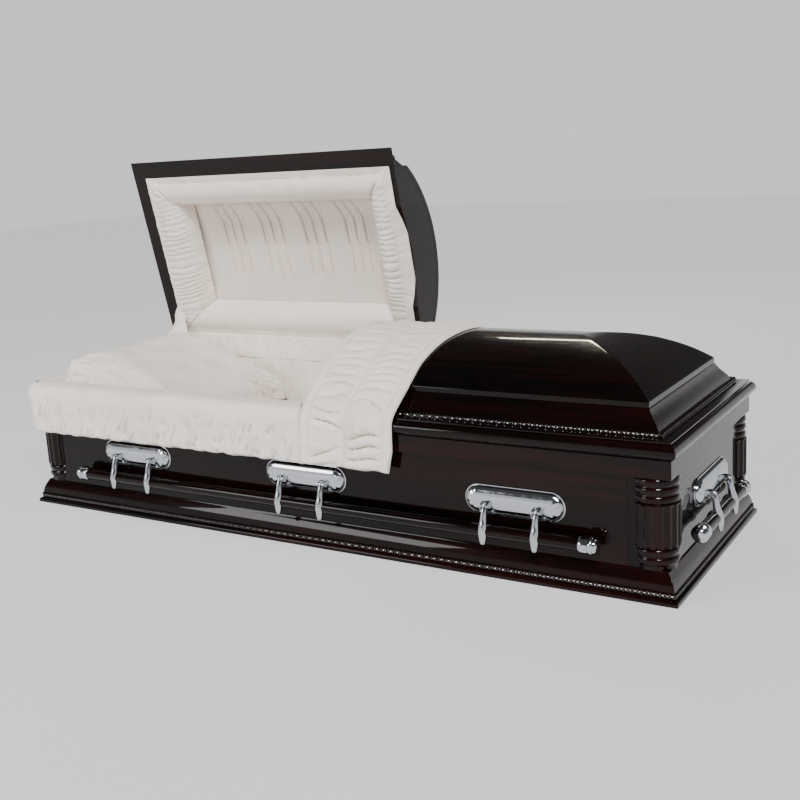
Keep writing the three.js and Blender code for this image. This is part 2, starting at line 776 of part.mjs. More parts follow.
function barGeometry(length) {
  const half = length / 2;
  const neck = half - tipLength;
  const turned = [
    [0, -half],
    [tipRadius * 0.62, -half + 3],
    [tipRadius * 0.94, -half + 12],
    [tipRadius, -half + 22],
    [tipRadius * 0.88, -half + 34],
    [tipRadius, -half + 46],
    [tipRadius * 0.82, -neck],
    [barRadius, -neck + 1],
  ];
  const mirrored = turned.map(([r, x]) => [r, -x]).reverse();
  const points = [...turned, ...mirrored].map(([r, x]) => new THREE.Vector2(r, x));
  return new THREE.LatheGeometry(points, 8).rotateZ(-Math.PI / 2).translate(0, -barOut, barHeight);
}

function addHandle(side, turn, wallDistance, barLength, centres, shift) {
  const group = new THREE.Group();
  group.rotation.z = THREE.MathUtils.degToRad(turn);
  const wall = new THREE.Group();
  wall.position.set(shift, -wallDistance, 0);
  group.add(wall);
  casket.add(group);
  centres.forEach((centre, i) => {
    const plateName = centres.length > 1 ? `${side}_plate_${i + 1}` : `${side}_plate`;
    addPart(plateName, plateGeometry(), 'chrome', wall).position.x = centre;
    for (const half of [0, 1]) {
      const x = centre + (half - 0.5) * armPitch;
      addPart(`${side}_arm_${2 * i + half + 1}`, armGeometry(), 'chrome', wall).position.x = x;
    }
  });
  addPart(`${side}_bar`, barGeometry(barLength), 'wood', wall);
}

const sidePlates = [-platePitch, 0, platePitch];
addHandle('front', 0, halfWidth, sideBarLength, sidePlates, handleShift);
addHandle('back', 180, halfWidth, sideBarLength, sidePlates, -handleShift);
addHandle('foot_end', 90, halfLength, endBarLength, [0], 0);
addHandle('head_end', -90, halfLength, endBarLength, [0], 0);

export default casket;
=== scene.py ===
"""Half-couch wooden casket: finished woodwork, chromed handles and padded cloth interior."""

import json
import math

import bmesh
import bpy
import numpy as np
from bpy.props import FloatProperty, FloatVectorProperty, IntProperty, PointerProperty
from bpy.types import Operator, Panel, PropertyGroup
from mathutils import Matrix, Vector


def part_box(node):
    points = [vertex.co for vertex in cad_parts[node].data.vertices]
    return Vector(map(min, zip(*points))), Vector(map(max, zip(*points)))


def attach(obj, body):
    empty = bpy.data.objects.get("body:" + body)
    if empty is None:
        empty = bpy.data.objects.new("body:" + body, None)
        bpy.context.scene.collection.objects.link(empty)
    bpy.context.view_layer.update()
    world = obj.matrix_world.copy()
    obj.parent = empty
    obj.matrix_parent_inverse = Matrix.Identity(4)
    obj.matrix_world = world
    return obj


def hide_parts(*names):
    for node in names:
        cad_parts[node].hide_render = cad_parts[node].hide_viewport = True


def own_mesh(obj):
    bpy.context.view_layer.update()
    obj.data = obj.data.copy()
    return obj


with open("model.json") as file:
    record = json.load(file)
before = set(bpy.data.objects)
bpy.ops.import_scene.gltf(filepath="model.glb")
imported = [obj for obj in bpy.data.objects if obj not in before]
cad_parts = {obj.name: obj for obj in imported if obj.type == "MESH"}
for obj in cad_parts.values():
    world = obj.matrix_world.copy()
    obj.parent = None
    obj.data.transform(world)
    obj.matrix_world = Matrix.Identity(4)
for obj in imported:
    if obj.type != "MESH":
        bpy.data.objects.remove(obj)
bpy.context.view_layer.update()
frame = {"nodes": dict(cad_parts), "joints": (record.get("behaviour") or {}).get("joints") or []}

bl_info = {
    "name": "Casket Finisher",
    "version": (1, 0, 0),
    "blender": (4, 5, 0),
    "location": "3D View > Sidebar > Casket",
    "description": "Mouldings, columns, handles, cloth and finishes of a half-couch casket",
    "category": "Add Mesh",
}

SIDEBAR_TAB = "Casket"
MM = 0.001


def low(node):
    return np.array(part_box(node)[0])


def high(node):
    return np.array(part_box(node)[1])


# Planes of the casket, read from the frame
BASE_OUT = 20 * MM
HALF_LENGTH = float(high("base_moulding")[0]) - BASE_OUT
HALF_WIDTH = float(high("base_moulding")[1]) - BASE_OUT
BASE_TOP = float(high("base_moulding")[2])
FRIEZE_BOTTOM = float(low("top_moulding")[2])
RIM_TOP = float(high("top_moulding")[2])
LID_BOTTOM = float(low("foot_lid_rim")[2])
HEAD_CUT = float(high("head_lid_crown")[0])
FOOT_CUT = float(low("foot_lid_crown")[0])
CROWN_TOP = float(high("foot_lid_crown")[2])
CROWN_INSET = HALF_LENGTH - float(high("foot_lid_crown")[0])
MATTRESS_TOP = float(high("mattress")[2])
WALL_INSIDE = 30 * MM
PANEL_RECESS = 12 * MM
RIM_WIDTH = 57 * MM
HEAD_JOINT = next(j for j in frame["joints"] if j["name"] == "head_lid_hinge")
HINGE_Y, HINGE_Z = HEAD_JOINT["pos_m"][1], HEAD_JOINT["pos_m"][2]
OPEN_ANGLE = math.radians(77.5)

# The photograph's camera, solved from the edges of the base, frieze, lid and crown
PHOTO_WIDTH_PX = 800
FOCAL_PX = 1125.1
PRINCIPAL_PX = (354.45, 379.12)
CAMERA_PLACE = (1.8086, -2.7782, 1.0950)
CAMERA_TURN, CAMERA_TILT, CAMERA_ROLL = (math.radians(a) for a in (33.46, 11.8, -3.74))
SENSOR_MM = 36.0


def colour_property(name, description, default):
    return FloatVectorProperty(
        name=name, description=description, subtype="COLOR", size=4, min=0, max=1, default=(*default, 1))


class CasketWoodFinish(PropertyGroup):
    """Finish of the lacquered woodwork"""

    ground: colour_property(
        "Ground colour", "Colour of the stain in the dark of the grain", (0.0012, 0.0008, 0.0009))
    figure: colour_property(
        "Figure colour", "Colour of the stain where the grain is open", (0.011, 0.0020, 0.0015))
    roughness: FloatProperty(
        name="Roughness", description="Roughness of the wood under the lacquer", default=0.22, min=0, max=1)
    bevel: FloatProperty(
        name="Eased edge", description="Width of the eased edges", default=0.9 * MM, min=0, unit="LENGTH")
    rope_pitch: FloatProperty(
        name="Rope pitch", description="Distance from one strand of the rope bead to the next",
        default=11 * MM, min=2 * MM, unit="LENGTH")


class CasketClothFinish(PropertyGroup):
    """Colours and folds of the cloth interior"""

    colour: colour_property("Cloth colour", "Colour of the crepe", (0.86, 0.785, 0.715))
    shade: colour_property(
        "Shade colour", "Colour of the crepe where it is a little darker", (0.76, 0.685, 0.61))
    # Pinker crepe of the lid panels, also made darker than the cream as painted shade for the lid's hollow
    lining: colour_property(
        "Lid panel colour", "Colour of the pinker crepe of the lid panels", (0.74, 0.645, 0.58))
    gather_depth: FloatProperty(
        name="Gather depth", description="Depth of the folds in the hanging flap", default=6.5 * MM, min=0,
        unit="LENGTH")
    shirr_depth: FloatProperty(
        name="Shirring depth", description="Depth of the shirred folds in the lid's rolls", default=6.4 * MM,
        min=0, unit="LENGTH")
    shirr_pitch: FloatProperty(
        name="Shirring pitch", description="Distance between shirred folds", default=19 * MM, min=4 * MM,
        unit="LENGTH")


class CasketChromeFinish(PropertyGroup):
    """Finish of the handles, hinges and catch"""

    colour: colour_property("Chrome colour", "Colour of the plated metal", (0.56, 0.58, 0.62))
    roughness: FloatProperty(
        name="Roughness", description="Roughness of the plated metal", default=0.09, min=0, max=1)
    catch_colour: colour_property(
        "Catch colour", "Colour of the blackened catch plate", (0.035, 0.035, 0.037))
    facets: IntProperty(
        name="Facets", description="Steps round a turned tip", default=40, min=8, max=96)


# Node materials

GRAIN_SCALE, FIGURE_SCALE, PORE_SCALE = 42, 5.5, 260
GRAIN_STRETCH = 0.06
CREPE_SCALE, CRUSH_SCALE = 900, 70
# Colour multiplied into the crepe where its surface is hollow, as painted shade in the folds
PAINTED_FOLD_SHADE = (0.62, 0.52, 0.42, 1)


def new_material(name):
    material = bpy.data.materials.new(name)
    material.use_nodes = True
    nodes = material.node_tree.nodes
    return material, nodes, material.node_tree.links, nodes["Principled BSDF"]


def noise_node(nodes, links, scale, detail, stretch=(1, 1, 1)):
    place = nodes.new("ShaderNodeTexCoord")
    mapping = nodes.new("ShaderNodeMapping")
    mapping.inputs["Scale"].default_value = stretch
    links.new(place.outputs["Object"], mapping.inputs["Vector"])
    noise = nodes.new("ShaderNodeTexNoise")
    noise.inputs["Scale"].default_value = scale
    noise.inputs["Detail"].default_value = detail
    links.new(mapping.outputs["Vector"], noise.inputs["Vector"])
    return noise


def ramp_node(nodes, links, source, stops):
    ramp = nodes.new("ShaderNodeValToRGB")
    while len(ramp.color_ramp.elements) < len(stops):
        ramp.color_ramp.elements.new(0.5)
    for element, (place, colour) in zip(ramp.color_ramp.elements, stops):
        element.position = place
        element.color = colour
    links.new(source, ramp.inputs["Fac"])
    return ramp


def grey(value):
    return (value, value, value, 1)


def darker(colour, share):
    return tuple(c * share for c in colour[:3]) + (1,)


def wood_material(name, along, coat=(1.28, 0.025)):
    """Wood whose grain runs along axis 0, 1 or 2, under a lacquer of the given IOR and roughness."""
    finish = bpy.context.scene.casket_wood
    material, nodes, links, shader = new_material(name)
    stretch = [1.0, 1.0, 1.0]
    stretch[along] = GRAIN_STRETCH
    grain = noise_node(nodes, links, GRAIN_SCALE, 8, tuple(stretch))
    figure = noise_node(nodes, links, FIGURE_SCALE, 3, tuple(stretch))
    mix = nodes.new("ShaderNodeMath")
    mix.operation = "MULTIPLY"
    links.new(grain.outputs["Fac"], mix.inputs[0])
    links.new(figure.outputs["Fac"], mix.inputs[1])
    ramp = ramp_node(nodes, links, mix.outputs["Value"], [(0.16, finish.ground), (0.42, finish.figure)])
    links.new(ramp.outputs["Color"], shader.inputs["Base Color"])
    pores = noise_node(nodes, links, PORE_SCALE, 2, tuple(stretch))
    rough = ramp_node(nodes, links, pores.outputs["Fac"], [
        (0.3, grey(finish.roughness * 0.7)), (0.7, grey(finish.roughness * 1.35))])
    links.new(rough.outputs["Color"], shader.inputs["Roughness"])
    shader.inputs["Specular IOR Level"].default_value = 0.03
    shader.inputs["Coat Weight"].default_value = 1.0
    shader.inputs["Coat IOR"].default_value = coat[0]
    shader.inputs["Coat Roughness"].default_value = coat[1]
    return material


def chrome_material(name, colour):
    """Plated metal with a faint haze in its polish."""
    finish = bpy.context.scene.casket_chrome
    material, nodes, links, shader = new_material(name)
    shader.inputs["Metallic"].default_value = 1.0
    haze = noise_node(nodes, links, 60, 4)
    rough = ramp_node(nodes, links, haze.outputs["Fac"], [
        (0.35, grey(finish.roughness * 0.7)), (0.75, grey(finish.roughness * 1.9))])
    links.new(rough.outputs["Color"], shader.inputs["Roughness"])
    tint = ramp_node(nodes, links, haze.outputs["Fac"], [
        (0.3, colour), (0.8, darker(colour, 0.9))])
    links.new(tint.outputs["Color"], shader.inputs["Base Color"])
    return material


def cloth_material(name, light, dark):
    """Crepe in two close colours, with painted shade darkening the bottom of its folds."""
    material, nodes, links, shader = new_material(name)
    tone = noise_node(nodes, links, 9, 4)
    colour = ramp_node(nodes, links, tone.outputs["Fac"], [(0.3, dark), (0.68, light)])
    # Painted shade: where the surface is hollow, as in the bottom of a fold, the crepe's colour is multiplied
    # darker
    form = nodes.new("ShaderNodeNewGeometry")
    depth = ramp_node(nodes, links, form.outputs["Pointiness"], [
        (0.42, PAINTED_FOLD_SHADE), (0.495, grey(1))])
    mix = nodes.new("ShaderNodeMix")
    mix.data_type = "RGBA"
    mix.blend_type = "MULTIPLY"
    mix.inputs[0].default_value = 1.0
    links.new(colour.outputs["Color"], mix.inputs[6])
    links.new(depth.outputs["Color"], mix.inputs[7])
    links.new(mix.outputs[2], shader.inputs["Base Color"])
    shader.inputs["Roughness"].default_value = 0.86
    shader.inputs["Specular IOR Level"].default_value = 0.25
    shader.inputs["Sheen Weight"].default_value = 0.25
    shader.inputs["Sheen Roughness"].default_value = 0.5
    crepe = noise_node(nodes, links, CREPE_SCALE, 3, (1, 1, 0.6))
    crush = noise_node(nodes, links, CRUSH_SCALE, 5)
    both = nodes.new("ShaderNodeMath")
    both.operation = "MULTIPLY_ADD"
    both.inputs[1].default_value = 0.25
    links.new(crepe.outputs["Fac"], both.inputs[0])
    links.new(crush.outputs["Fac"], both.inputs[2])
    bump = nodes.new("ShaderNodeBump")
    bump.inputs["Strength"].default_value = 0.35
    bump.inputs["Distance"].default_value = 1.2 * MM
    links.new(both.outputs["Value"], bump.inputs["Height"])
    links.new(bump.outputs["Normal"], shader.inputs["Normal"])
    return material


def material_for(key):
    """The material of a finish, made when it is first asked for."""
    chrome, cloth = bpy.context.scene.casket_chrome, bpy.context.scene.casket_cloth
    makers = {
        "wood_long": lambda: wood_material("lacquered_wood_along", 0),
        "wood_cross": lambda: wood_material("lacquered_wood_across", 1),
        "wood_upright": lambda: wood_material("lacquered_wood_upright", 2),
        "wood_bead": lambda: wood_material("lacquered_wood_bead", 0, (1.6, 0.09)),
        "chrome": lambda: chrome_material("polished_chrome", chrome.colour),
        "catch": lambda: chrome_material("blackened_steel", chrome.catch_colour),
        "cloth": lambda: cloth_material("cream_crepe", cloth.colour, cloth.shade),
        "cloth_lining_shaded": lambda: cloth_material("pink_crepe_painted_shade", cloth.lining, darker(cloth.lining, 0.93)),
    }
    if key not in MATERIALS:
        MATERIALS[key] = makers[key]()
    return MATERIALS[key]


MATERIALS = {}
SLOTS = {
    "wood_long": "wood", "wood_cross": "wood", "wood_upright": "wood", "wood_bead": "wood",
    "chrome": "chrome", "catch": "chrome", "cloth": "cloth", "cloth_lining_shaded": "cloth",
}


# Mesh building


def grid_faces(rows, columns, close_rows=False, close_columns=False):
    """Quads of a grid of points, which may close on itself either way."""
    row_count = rows if close_rows else rows - 1
    column_count = columns if close_columns else columns - 1
    i, j = np.meshgrid(np.arange(row_count), np.arange(column_count), indexing="ij")
    next_i, next_j = (i + 1) % rows, (j + 1) % columns
    corners = (i * columns + j, i * columns + next_j, next_i * columns + next_j, next_i * columns + j)
    return np.stack(corners, -1).reshape(-1, 4).tolist()


def end_caps(rows, columns):
    """The two faces that close a tube of rows with columns points each."""
    return [list(range(columns)), [(rows - 1) * columns + j for j in reversed(range(columns))]]


def tube_faces(rows, columns):
    return grid_faces(rows, columns, False, True) + end_caps(rows, columns)


def surface(x, y, z):
    """Points from coordinates that are stretched to one shape."""
    return np.stack(np.broadcast_arrays(x, y, z), -1)


def add_piece(name, vertices, faces, finish, body, nodes=(), crease=35.0, weld=1e-5):
    """A new piece on a body, in place of the nodes named; edges sharper than crease degrees stay sharp."""
    mesh = bpy.data.meshes.new(name)
    mesh.from_pydata(np.asarray(vertices, float).reshape(-1, 3).tolist(), [], faces)
    shaped = bmesh.new()
    shaped.from_mesh(mesh)
    bmesh.ops.remove_doubles(shaped, verts=shaped.verts, dist=weld)
    bmesh.ops.dissolve_degenerate(shaped, edges=shaped.edges, dist=weld)
    bmesh.ops.recalc_face_normals(shaped, faces=shaped.faces)
    shaped.to_mesh(mesh)
    shaped.free()
    mesh.materials.append(material_for(finish))
    mesh.shade_smooth()
    mesh.set_sharp_from_angle(angle=math.radians(crease))
    piece = linked(name, mesh)
    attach(piece, body)
    if nodes:
        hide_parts(*nodes)
    return piece


def ease_edges(piece, width=None, segments=2):
    bevel = piece.modifiers.new("eased_edges", "BEVEL")
    bevel.width = width or bpy.context.scene.casket_wood.bevel
    bevel.segments = segments
    bevel.limit_method = "ANGLE"
    bevel.angle_limit = math.radians(32)
    bevel.use_clamp_overlap = True
    return piece


def inward_directions(path, closed, widths=None):
    """Direction of a unit inset at each point of a plan path that runs counter-clockwise."""
    path = np.asarray(path, float)
    count = len(path)
    runs = count if closed else count - 1
    widths = widths or [1.0] * runs
    ahead = np.roll(path, -1, axis=0) - path
    normals = np.stack([-ahead[:, 1], ahead[:, 0]], 1) / np.linalg.norm(ahead, axis=1)[:, None]
    normals = normals[:runs] * np.array(widths)[:, None]
    result = []
    for i in range(count):
        if not closed and i == 0:
            result.append(normals[0])
        elif not closed and i == count - 1:
            result.append(normals[-1])
        else:
            result.append(normals[(i - 1) % runs] + normals[i % runs])
    return np.array(result)


BESIDE_HIP = 0.015


def sweep(path, profile, closed, ridge=None):
    """Vertices and faces of a closed profile of (inset, height) carried round a plan path.

    A profile that ends on a ridge gets rows close beside its hips, so that only they are smoothed.
    """
    path, profile = np.asarray(path, float), np.asarray(profile, float)
    inward = inward_directions(path, closed)
    vertices = np.zeros((len(path), len(profile), 3))
    vertices[:, :, :2] = path[:, None, :] + profile[None, :, 0, None] * inward[:, None, :]
    vertices[:, :, 2] = profile[None, :, 1]
    if ridge is not None:
        rows = []
        for first, second in zip(vertices[:-1], vertices[1:]):
            rows += [first, (1 - BESIDE_HIP) * first + BESIDE_HIP * second,
                     BESIDE_HIP * first + (1 - BESIDE_HIP) * second]
        vertices = np.array([*rows, vertices[-1]])
    columns = len(profile)
    faces = grid_faces(len(vertices), columns, closed, True)
    if ridge is not None:
        on_ridge = profile[:, 0] > ridge - 1e-6
        faces = [f for f in faces if not all(on_ridge[v % columns] for v in f)]
    if not closed:
        faces += end_caps(len(vertices), columns)
    return vertices.reshape(-1, 3), faces


def arc(centre, radius, start, end, steps):
    angles = np.radians(np.linspace(start, end, steps + 1))
    return [(centre[0] + radius * math.cos(a), centre[1] + radius * math.sin(a)) for a in angles]


def rounded(points, repeats=2):
    """Chaikin's corner cutting for an open line, keeping its ends."""
    line = np.asarray(points, float)
    for _ in range(repeats):
        first, second = line[:-1], line[1:]
        cut = np.stack([0.75 * first + 0.25 * second, 0.25 * first + 0.75 * second], 1)
        line = np.vstack([line[:1], cut.reshape(-1, line.shape[1])[1:-1], line[-1:]])
    return line


def resampled(line, step):
    """Points of the line about step apart, and their distances along it."""
    line = np.asarray(line, float)
    lengths = np.r_[0, np.cumsum(np.linalg.norm(np.diff(line, axis=0), axis=1))]
    count = max(int(round(lengths[-1] / step)), 2)
    at = np.linspace(0, lengths[-1], count + 1)
    return np.stack([np.interp(at, lengths, line[:, i]) for i in range(line.shape[1])], 1), at


def opened(points):
    """Points of the head lid as it lies closed, turned to where the lid stands open."""
    points = np.asarray(points, float).copy()
    y, z = points[..., 1] - HINGE_Y, points[..., 2] - HINGE_Z
    points[..., 1] = HINGE_Y + y * math.cos(OPEN_ANGLE) + z * math.sin(OPEN_ANGLE)
    points[..., 2] = HINGE_Z - y * math.sin(OPEN_ANGLE) + z * math.cos(OPEN_ANGLE)
    return points


def unchanged(points):
    return np.asarray(points, float)


BODY_RING = [(-HALF_LENGTH, -HALF_WIDTH), (HALF_LENGTH, -HALF_WIDTH), (HALF_LENGTH, HALF_WIDTH),
             (-HALF_LENGTH, HALF_WIDTH)]
HEAD_PATH = [(HEAD_CUT, HALF_WIDTH), (-HALF_LENGTH, HALF_WIDTH), (-HALF_LENGTH, -HALF_WIDTH),
             (HEAD_CUT, -HALF_WIDTH)]
FOOT_PATH = [(FOOT_CUT, -HALF_WIDTH), (HALF_LENGTH, -HALF_WIDTH), (HALF_LENGTH, HALF_WIDTH),
             (FOOT_CUT, HALF_WIDTH)]
LIDS = {"head_lid": (HEAD_PATH, opened), "foot_lid": (FOOT_PATH, unchanged)}


# Woodwork


def rope(path, closed, inset, height, radius, pitch):
    """A three-strand twisted bead that follows the mouldings."""
    strands, around, steps_a_strand = 3, 12, 5.5
    corners = np.asarray(path, float) + inset * inward_directions(path, closed)
    if closed:
        corners = np.vstack([corners, corners[:1]])
    line, at = resampled(corners, pitch / steps_a_strand)
    tangent = np.gradient(line, axis=0)
    tangent /= np.linalg.norm(tangent, axis=1)[:, None]
    side = np.stack([-tangent[:, 1], tangent[:, 0]], 1)
    angle = np.linspace(0, 2 * math.pi, around, endpoint=False)
    twist = 2 * math.pi * at / (pitch * strands)
    lobes = np.abs(np.cos(strands / 2 * (angle[None, :] - twist[:, None])))
    size = radius * (0.34 + 0.68 * lobes ** 0.8)
    vertices = np.zeros((len(line), around, 3))
    vertices[:, :, :2] = line[:, None, :] + (size * np.cos(angle))[:, :, None] * side[:, None, :]
    vertices[:, :, 2] = height + size * np.sin(angle)
    return vertices.reshape(-1, 3), tube_faces(len(line), around)


class CASKET_OT_mouldings(Operator):
    """Run the base and top mouldings round the casket, with the rope bead on the base"""

    bl_idname = "casket.mouldings"
    bl_label = "Mouldings"

    def execute(self, context):
        base = [
            (-20, 0), (-20, 7), (-19.2, 9.6), (-16.5, 12.4), (-12, 14.4), (-9, 15.5), (-6.5, 18), (-6.5, 29),
            (-9, 30.6), (-8.2, 33), (-6.9, 40), (-4.6, 47.5), (-1.6, 54.5), (2, 61), (5.4, 67), (7.6, 70.2),
            (9, BASE_TOP / MM), (30, BASE_TOP / MM), (30, 0)]
        shape = sweep(BODY_RING, np.array(base) * MM, True)
        ease_edges(add_piece("base_moulding_wood", *shape, "wood_long", "casket", ["base_moulding"]))
        pitch = context.scene.casket_wood.rope_pitch
        bead = rope(BODY_RING, True, -8.4 * MM, 23 * MM, 7.2 * MM, pitch)
        add_piece("base_rope", *bead, "wood_bead", "casket", crease=60)
        nose_bottom, overhang = 347, 14.5
        nose = (RIM_TOP / MM - nose_bottom) / 2
        centre = (nose - overhang, nose_bottom + nose)
        top = [(0, FRIEZE_BOTTOM / MM), (0, 345), (1.2, 346.4), *arc(centre, nose, 270, 90, 28),
               (30, RIM_TOP / MM), (30, FRIEZE_BOTTOM / MM)]
        shape = sweep(BODY_RING, np.array(top) * MM, True)
        ease_edges(add_piece("top_moulding_wood", *shape, "wood_long", "casket", ["top_moulding"]), 0.6 * MM)
        return {"FINISHED"}


def crown_line(offset, steps):
    """The crown's arc from its foot to the ridge, as (inset, height) in metres."""
    edge = LID_BOTTOM + 76.4 * MM
    half = HALF_WIDTH - CROWN_INSET
    rise = CROWN_TOP - edge
    radius = (half ** 2 + rise ** 2) / (2 * rise) + offset
    y = (half + offset) * (1 - np.linspace(0, 1, steps + 1))
    return [(HALF_WIDTH - a, CROWN_TOP + offset - radius + math.sqrt(radius ** 2 - a ** 2)) for a in y]


class CASKET_OT_lids(Operator):
    """Shape the rims, rope beads and hipped crowns of both lids, and ease their edges"""

    bl_idname = "casket.lids"
    bl_label = "Lids"

    def execute(self, context):
        b = LID_BOTTOM / MM
        rim = [
            (0, b), (0, b + 3.6), (0.5, b + 4.7), (1.6, b + 5), (25.5, b + 5), (26.8, b + 6), (27.4, b + 8),
            (39.4, b + 13.4), (41.5, b + 16.5), (45, b + 21.5), (50, b + 28), (56, b + 35.2), (62, b + 42.4),
            (67.5, b + 50), (71.5, b + 56.5), (73.6, b + 61), (91, b + 61), (61, b + 23.5), (57, b + 15.5),
            (57, b)]
        thickness = 16 * MM
        base = b * MM + 61.4 * MM
        crown = [(CROWN_INSET, base), *crown_line(0, 34), *reversed(crown_line(-thickness, 20)),
                 (CROWN_INSET + thickness, base)]
        pitch = context.scene.casket_wood.rope_pitch
        for lid, (path, turn) in LIDS.items():
            vertices, faces = sweep(path, np.array(rim) * MM, False)
            piece = add_piece(f"{lid}_rim_wood", turn(vertices), faces, "wood_long", lid, [f"{lid}_rim"])
            ease_edges(piece, 0.5 * MM)
            vertices, faces = sweep(path, crown, False, HALF_WIDTH)
            piece = add_piece(f"{lid}_crown_wood", turn(vertices), faces, "wood_long", lid, [f"{lid}_crown"],
                              crease=28)
            ease_edges(piece, 1.2 * MM)
            vertices, faces = rope(path, False, 33.2 * MM, (b + 10) * MM, 7.4 * MM, pitch)
            add_piece(f"{lid}_rope", turn(vertices), faces, "wood_bead", lid, crease=60)
        return {"FINISHED"}


def wing(low_k, high_k, end_sign, side_sign, bottom, top):
    """A flat board between a column and the panel beside it, from insets in millimetres."""
    corners = []
    for z in (bottom, top):
        for kx, ky in (low_k, (high_k[0], low_k[1]), high_k, (low_k[0], high_k[1])):
            corners.append((end_sign * (HALF_LENGTH - kx * MM), side_sign * (HALF_WIDTH - ky * MM), z))
    return corners, [[0, 1, 2, 3], [4, 5, 6, 7], [0, 1, 5, 4], [1, 2, 6, 5], [2, 3, 7, 6], [3, 0, 4, 7]]


def column_rows(radius):
    """Heights, radii and shares of the full flutes, from the foot of a column to its top."""
    foot, ring, wire = 12 * MM, 21 * MM, 6.5 * MM
    shaft_low, shaft_high = BASE_TOP + foot + 2 * ring, FRIEZE_BOTTOM - 3 * ring
    rows = [(BASE_TOP, radius - 10 * MM, 0), (BASE_TOP + 3 * MM, radius - 9.4 * MM, 0),
            (BASE_TOP + foot - 2 * MM, radius - 8 * MM, 0)]

    def rings(start, count, girth):
        for i in range(count):
            for t in np.linspace(0.04, 0.96, 9):
                swell = math.sqrt(max(1 - (2 * t - 1) ** 2, 0))
                rows.append((start + (i + t) * ring, girth - wire * (1 - swell), 0))

    rings(BASE_TOP + foot, 2, radius - 3 * MM)
    for z in np.linspace(shaft_low + 1.5 * MM, shaft_high - 1.5 * MM, 28):
        share = min(z - shaft_low, shaft_high - z) / (9 * MM)
        rows.append((z, radius, min(math.sqrt(max(share, 0)), 1)))
    rings(shaft_high, 3, radius - 2 * MM)
    rows.append((FRIEZE_BOTTOM, radius - 8 * MM, 0))
    return np.array(rows).T


class CASKET_OT_columns(Operator):
    """Turn and flute the four corner columns"""

    bl_idname = "casket.columns"
    bl_label = "Corner columns"

    flutes: IntProperty(name="Flutes", description="Flutes round a whole shaft", default=18, min=6, max=40)

    def execute(self, context):
        inset, notch, steps, flute_depth = 52 * MM, 30.4 * MM, 216, 4.2 * MM
        z, girth, fluted = column_rows(radius=57.5 * MM)
        angle = np.linspace(0, 2 * math.pi, steps, endpoint=False)
        across = (angle * self.flutes / (2 * math.pi)) % 1 * 2 - 1
        groove = flute_depth * np.sqrt(np.clip(1 - (across / 0.84) ** 2, 0, None))
        size = girth[:, None] - fluted[:, None] * groove[None, :]
        x, y = inset + size * np.cos(angle), inset + size * np.sin(angle)
        inside = (x > notch) & (y > notch)
        x, y = np.where(inside & (x <= y), notch, x), np.where(inside & (y < x), notch, y)
        for end, end_sign in (("foot", 1), ("head", -1)):
            for side, side_sign in (("front", -1), ("back", 1)):
                vertices = surface(end_sign * (HALF_LENGTH - x), side_sign * (HALF_WIDTH - y), z[:, None])
                shapes = [(vertices, tube_faces(len(z), steps))]
                for low_k, high_k in (((45, 12), (109.5, 29.6)), ((12, 45), (29.6, 109.5))):
                    shapes.append(wing(low_k, high_k, end_sign, side_sign, BASE_TOP, FRIEZE_BOTTOM))
                node = f"{side}_{end}_column"
                add_piece(f"{node}_wood", *merged(*shapes), "wood_upright", "casket", [node],
                          crease=50, weld=1e-7)
        return {"FINISHED"}


class CASKET_OT_boards(Operator):
    """Finish the flat boards, hinge leaves and catch plate that keep their solid"""

    bl_idname = "casket.boards"
    bl_label = "Boards and hinges"

    def execute(self, context):
        finishes = {
            "wood_long": ["front_panel", "back_panel", "bottom_board"],
            "wood_cross": ["head_end_panel", "foot_end_panel", "head_lid_header", "foot_lid_header"],
            "chrome": ["head_hinge_body_leaf", "foot_hinge_body_leaf", "head_lid_hinge_leaf",
                       "foot_lid_hinge_leaf"],
            "catch": ["catch_plate"],
        }
        for finish, nodes in finishes.items():
            for node in nodes:
                board = frame["nodes"][node]
                board.data.materials.clear()
                board.data.materials.append(material_for(finish))
                ease_edges(board, 0.5 * MM if SLOTS[finish] == "chrome" else None)
        return {"FINISHED"}


# Handles


def lathe(profile, steps):
    """Vertices and faces of a profile of (radius, length) turned about X."""
    profile = np.asarray(profile, float)
    angle = np.linspace(0, 2 * math.pi, steps, endpoint=False)
    radius = profile[:, 0, None]
    vertices = surface(profile[:, 1, None], radius * np.cos(angle), radius * np.sin(angle))
    return vertices.reshape(-1, 3), tube_faces(len(profile), steps)


def merged(*shapes):
    """Several shapes of (vertices, faces) as one."""
    vertices, faces, start = [], [], 0
    for points, polygons in shapes:
        vertices.append(np.asarray(points, float).reshape(-1, 3))
        faces.extend([[v + start for v in f] for f in polygons])
        start += len(vertices[-1])
    return np.vstack(vertices), faces


def placed(shape, matrix):
    """A shape turned and moved by a matrix."""
    points = np.asarray(shape[0], float)
    rotation = np.array(matrix.to_3x3())
    return points @ rotation.T + np.array(matrix.translation), shape[1]


def ball(centre, radius):
    angles = np.linspace(0.02, math.pi - 0.02, 12)
    points, faces = lathe([(max(radius * math.sin(a), 1e-5), radius * -math.cos(a)) for a in angles], 20)
    return points + np.array(centre), faces


def stadium(length, height, inset, steps=22):
    """Outline of an oblong with round ends, pulled in by inset, in X and Z."""
    r = height / 2
    straight = length / 2 - r
    points = []
    for sign in (1, -1):
        for a in np.linspace(-math.pi / 2, math.pi / 2, steps):
            x, z = straight + (r - inset) * math.cos(a), (r - inset) * math.sin(a)
            points.append((sign * x, sign * z))
        for t in np.linspace(0, 1, 30)[1:-1]:
            points.append((sign * (straight - 2 * straight * t), sign * (r - inset)))
    return np.array(points)


# Length and height of a plate; pivot and bar as (distance from the wall, height)
PLATE = (272 * MM, 76 * MM)
PLATE_CENTRE = 197 * MM
PIVOT = (15 * MM, 188 * MM)
ARM_HALF_PITCH = 70 * MM
BAR = (22 * MM, 125 * MM)
BAR_RADIUS = 17 * MM


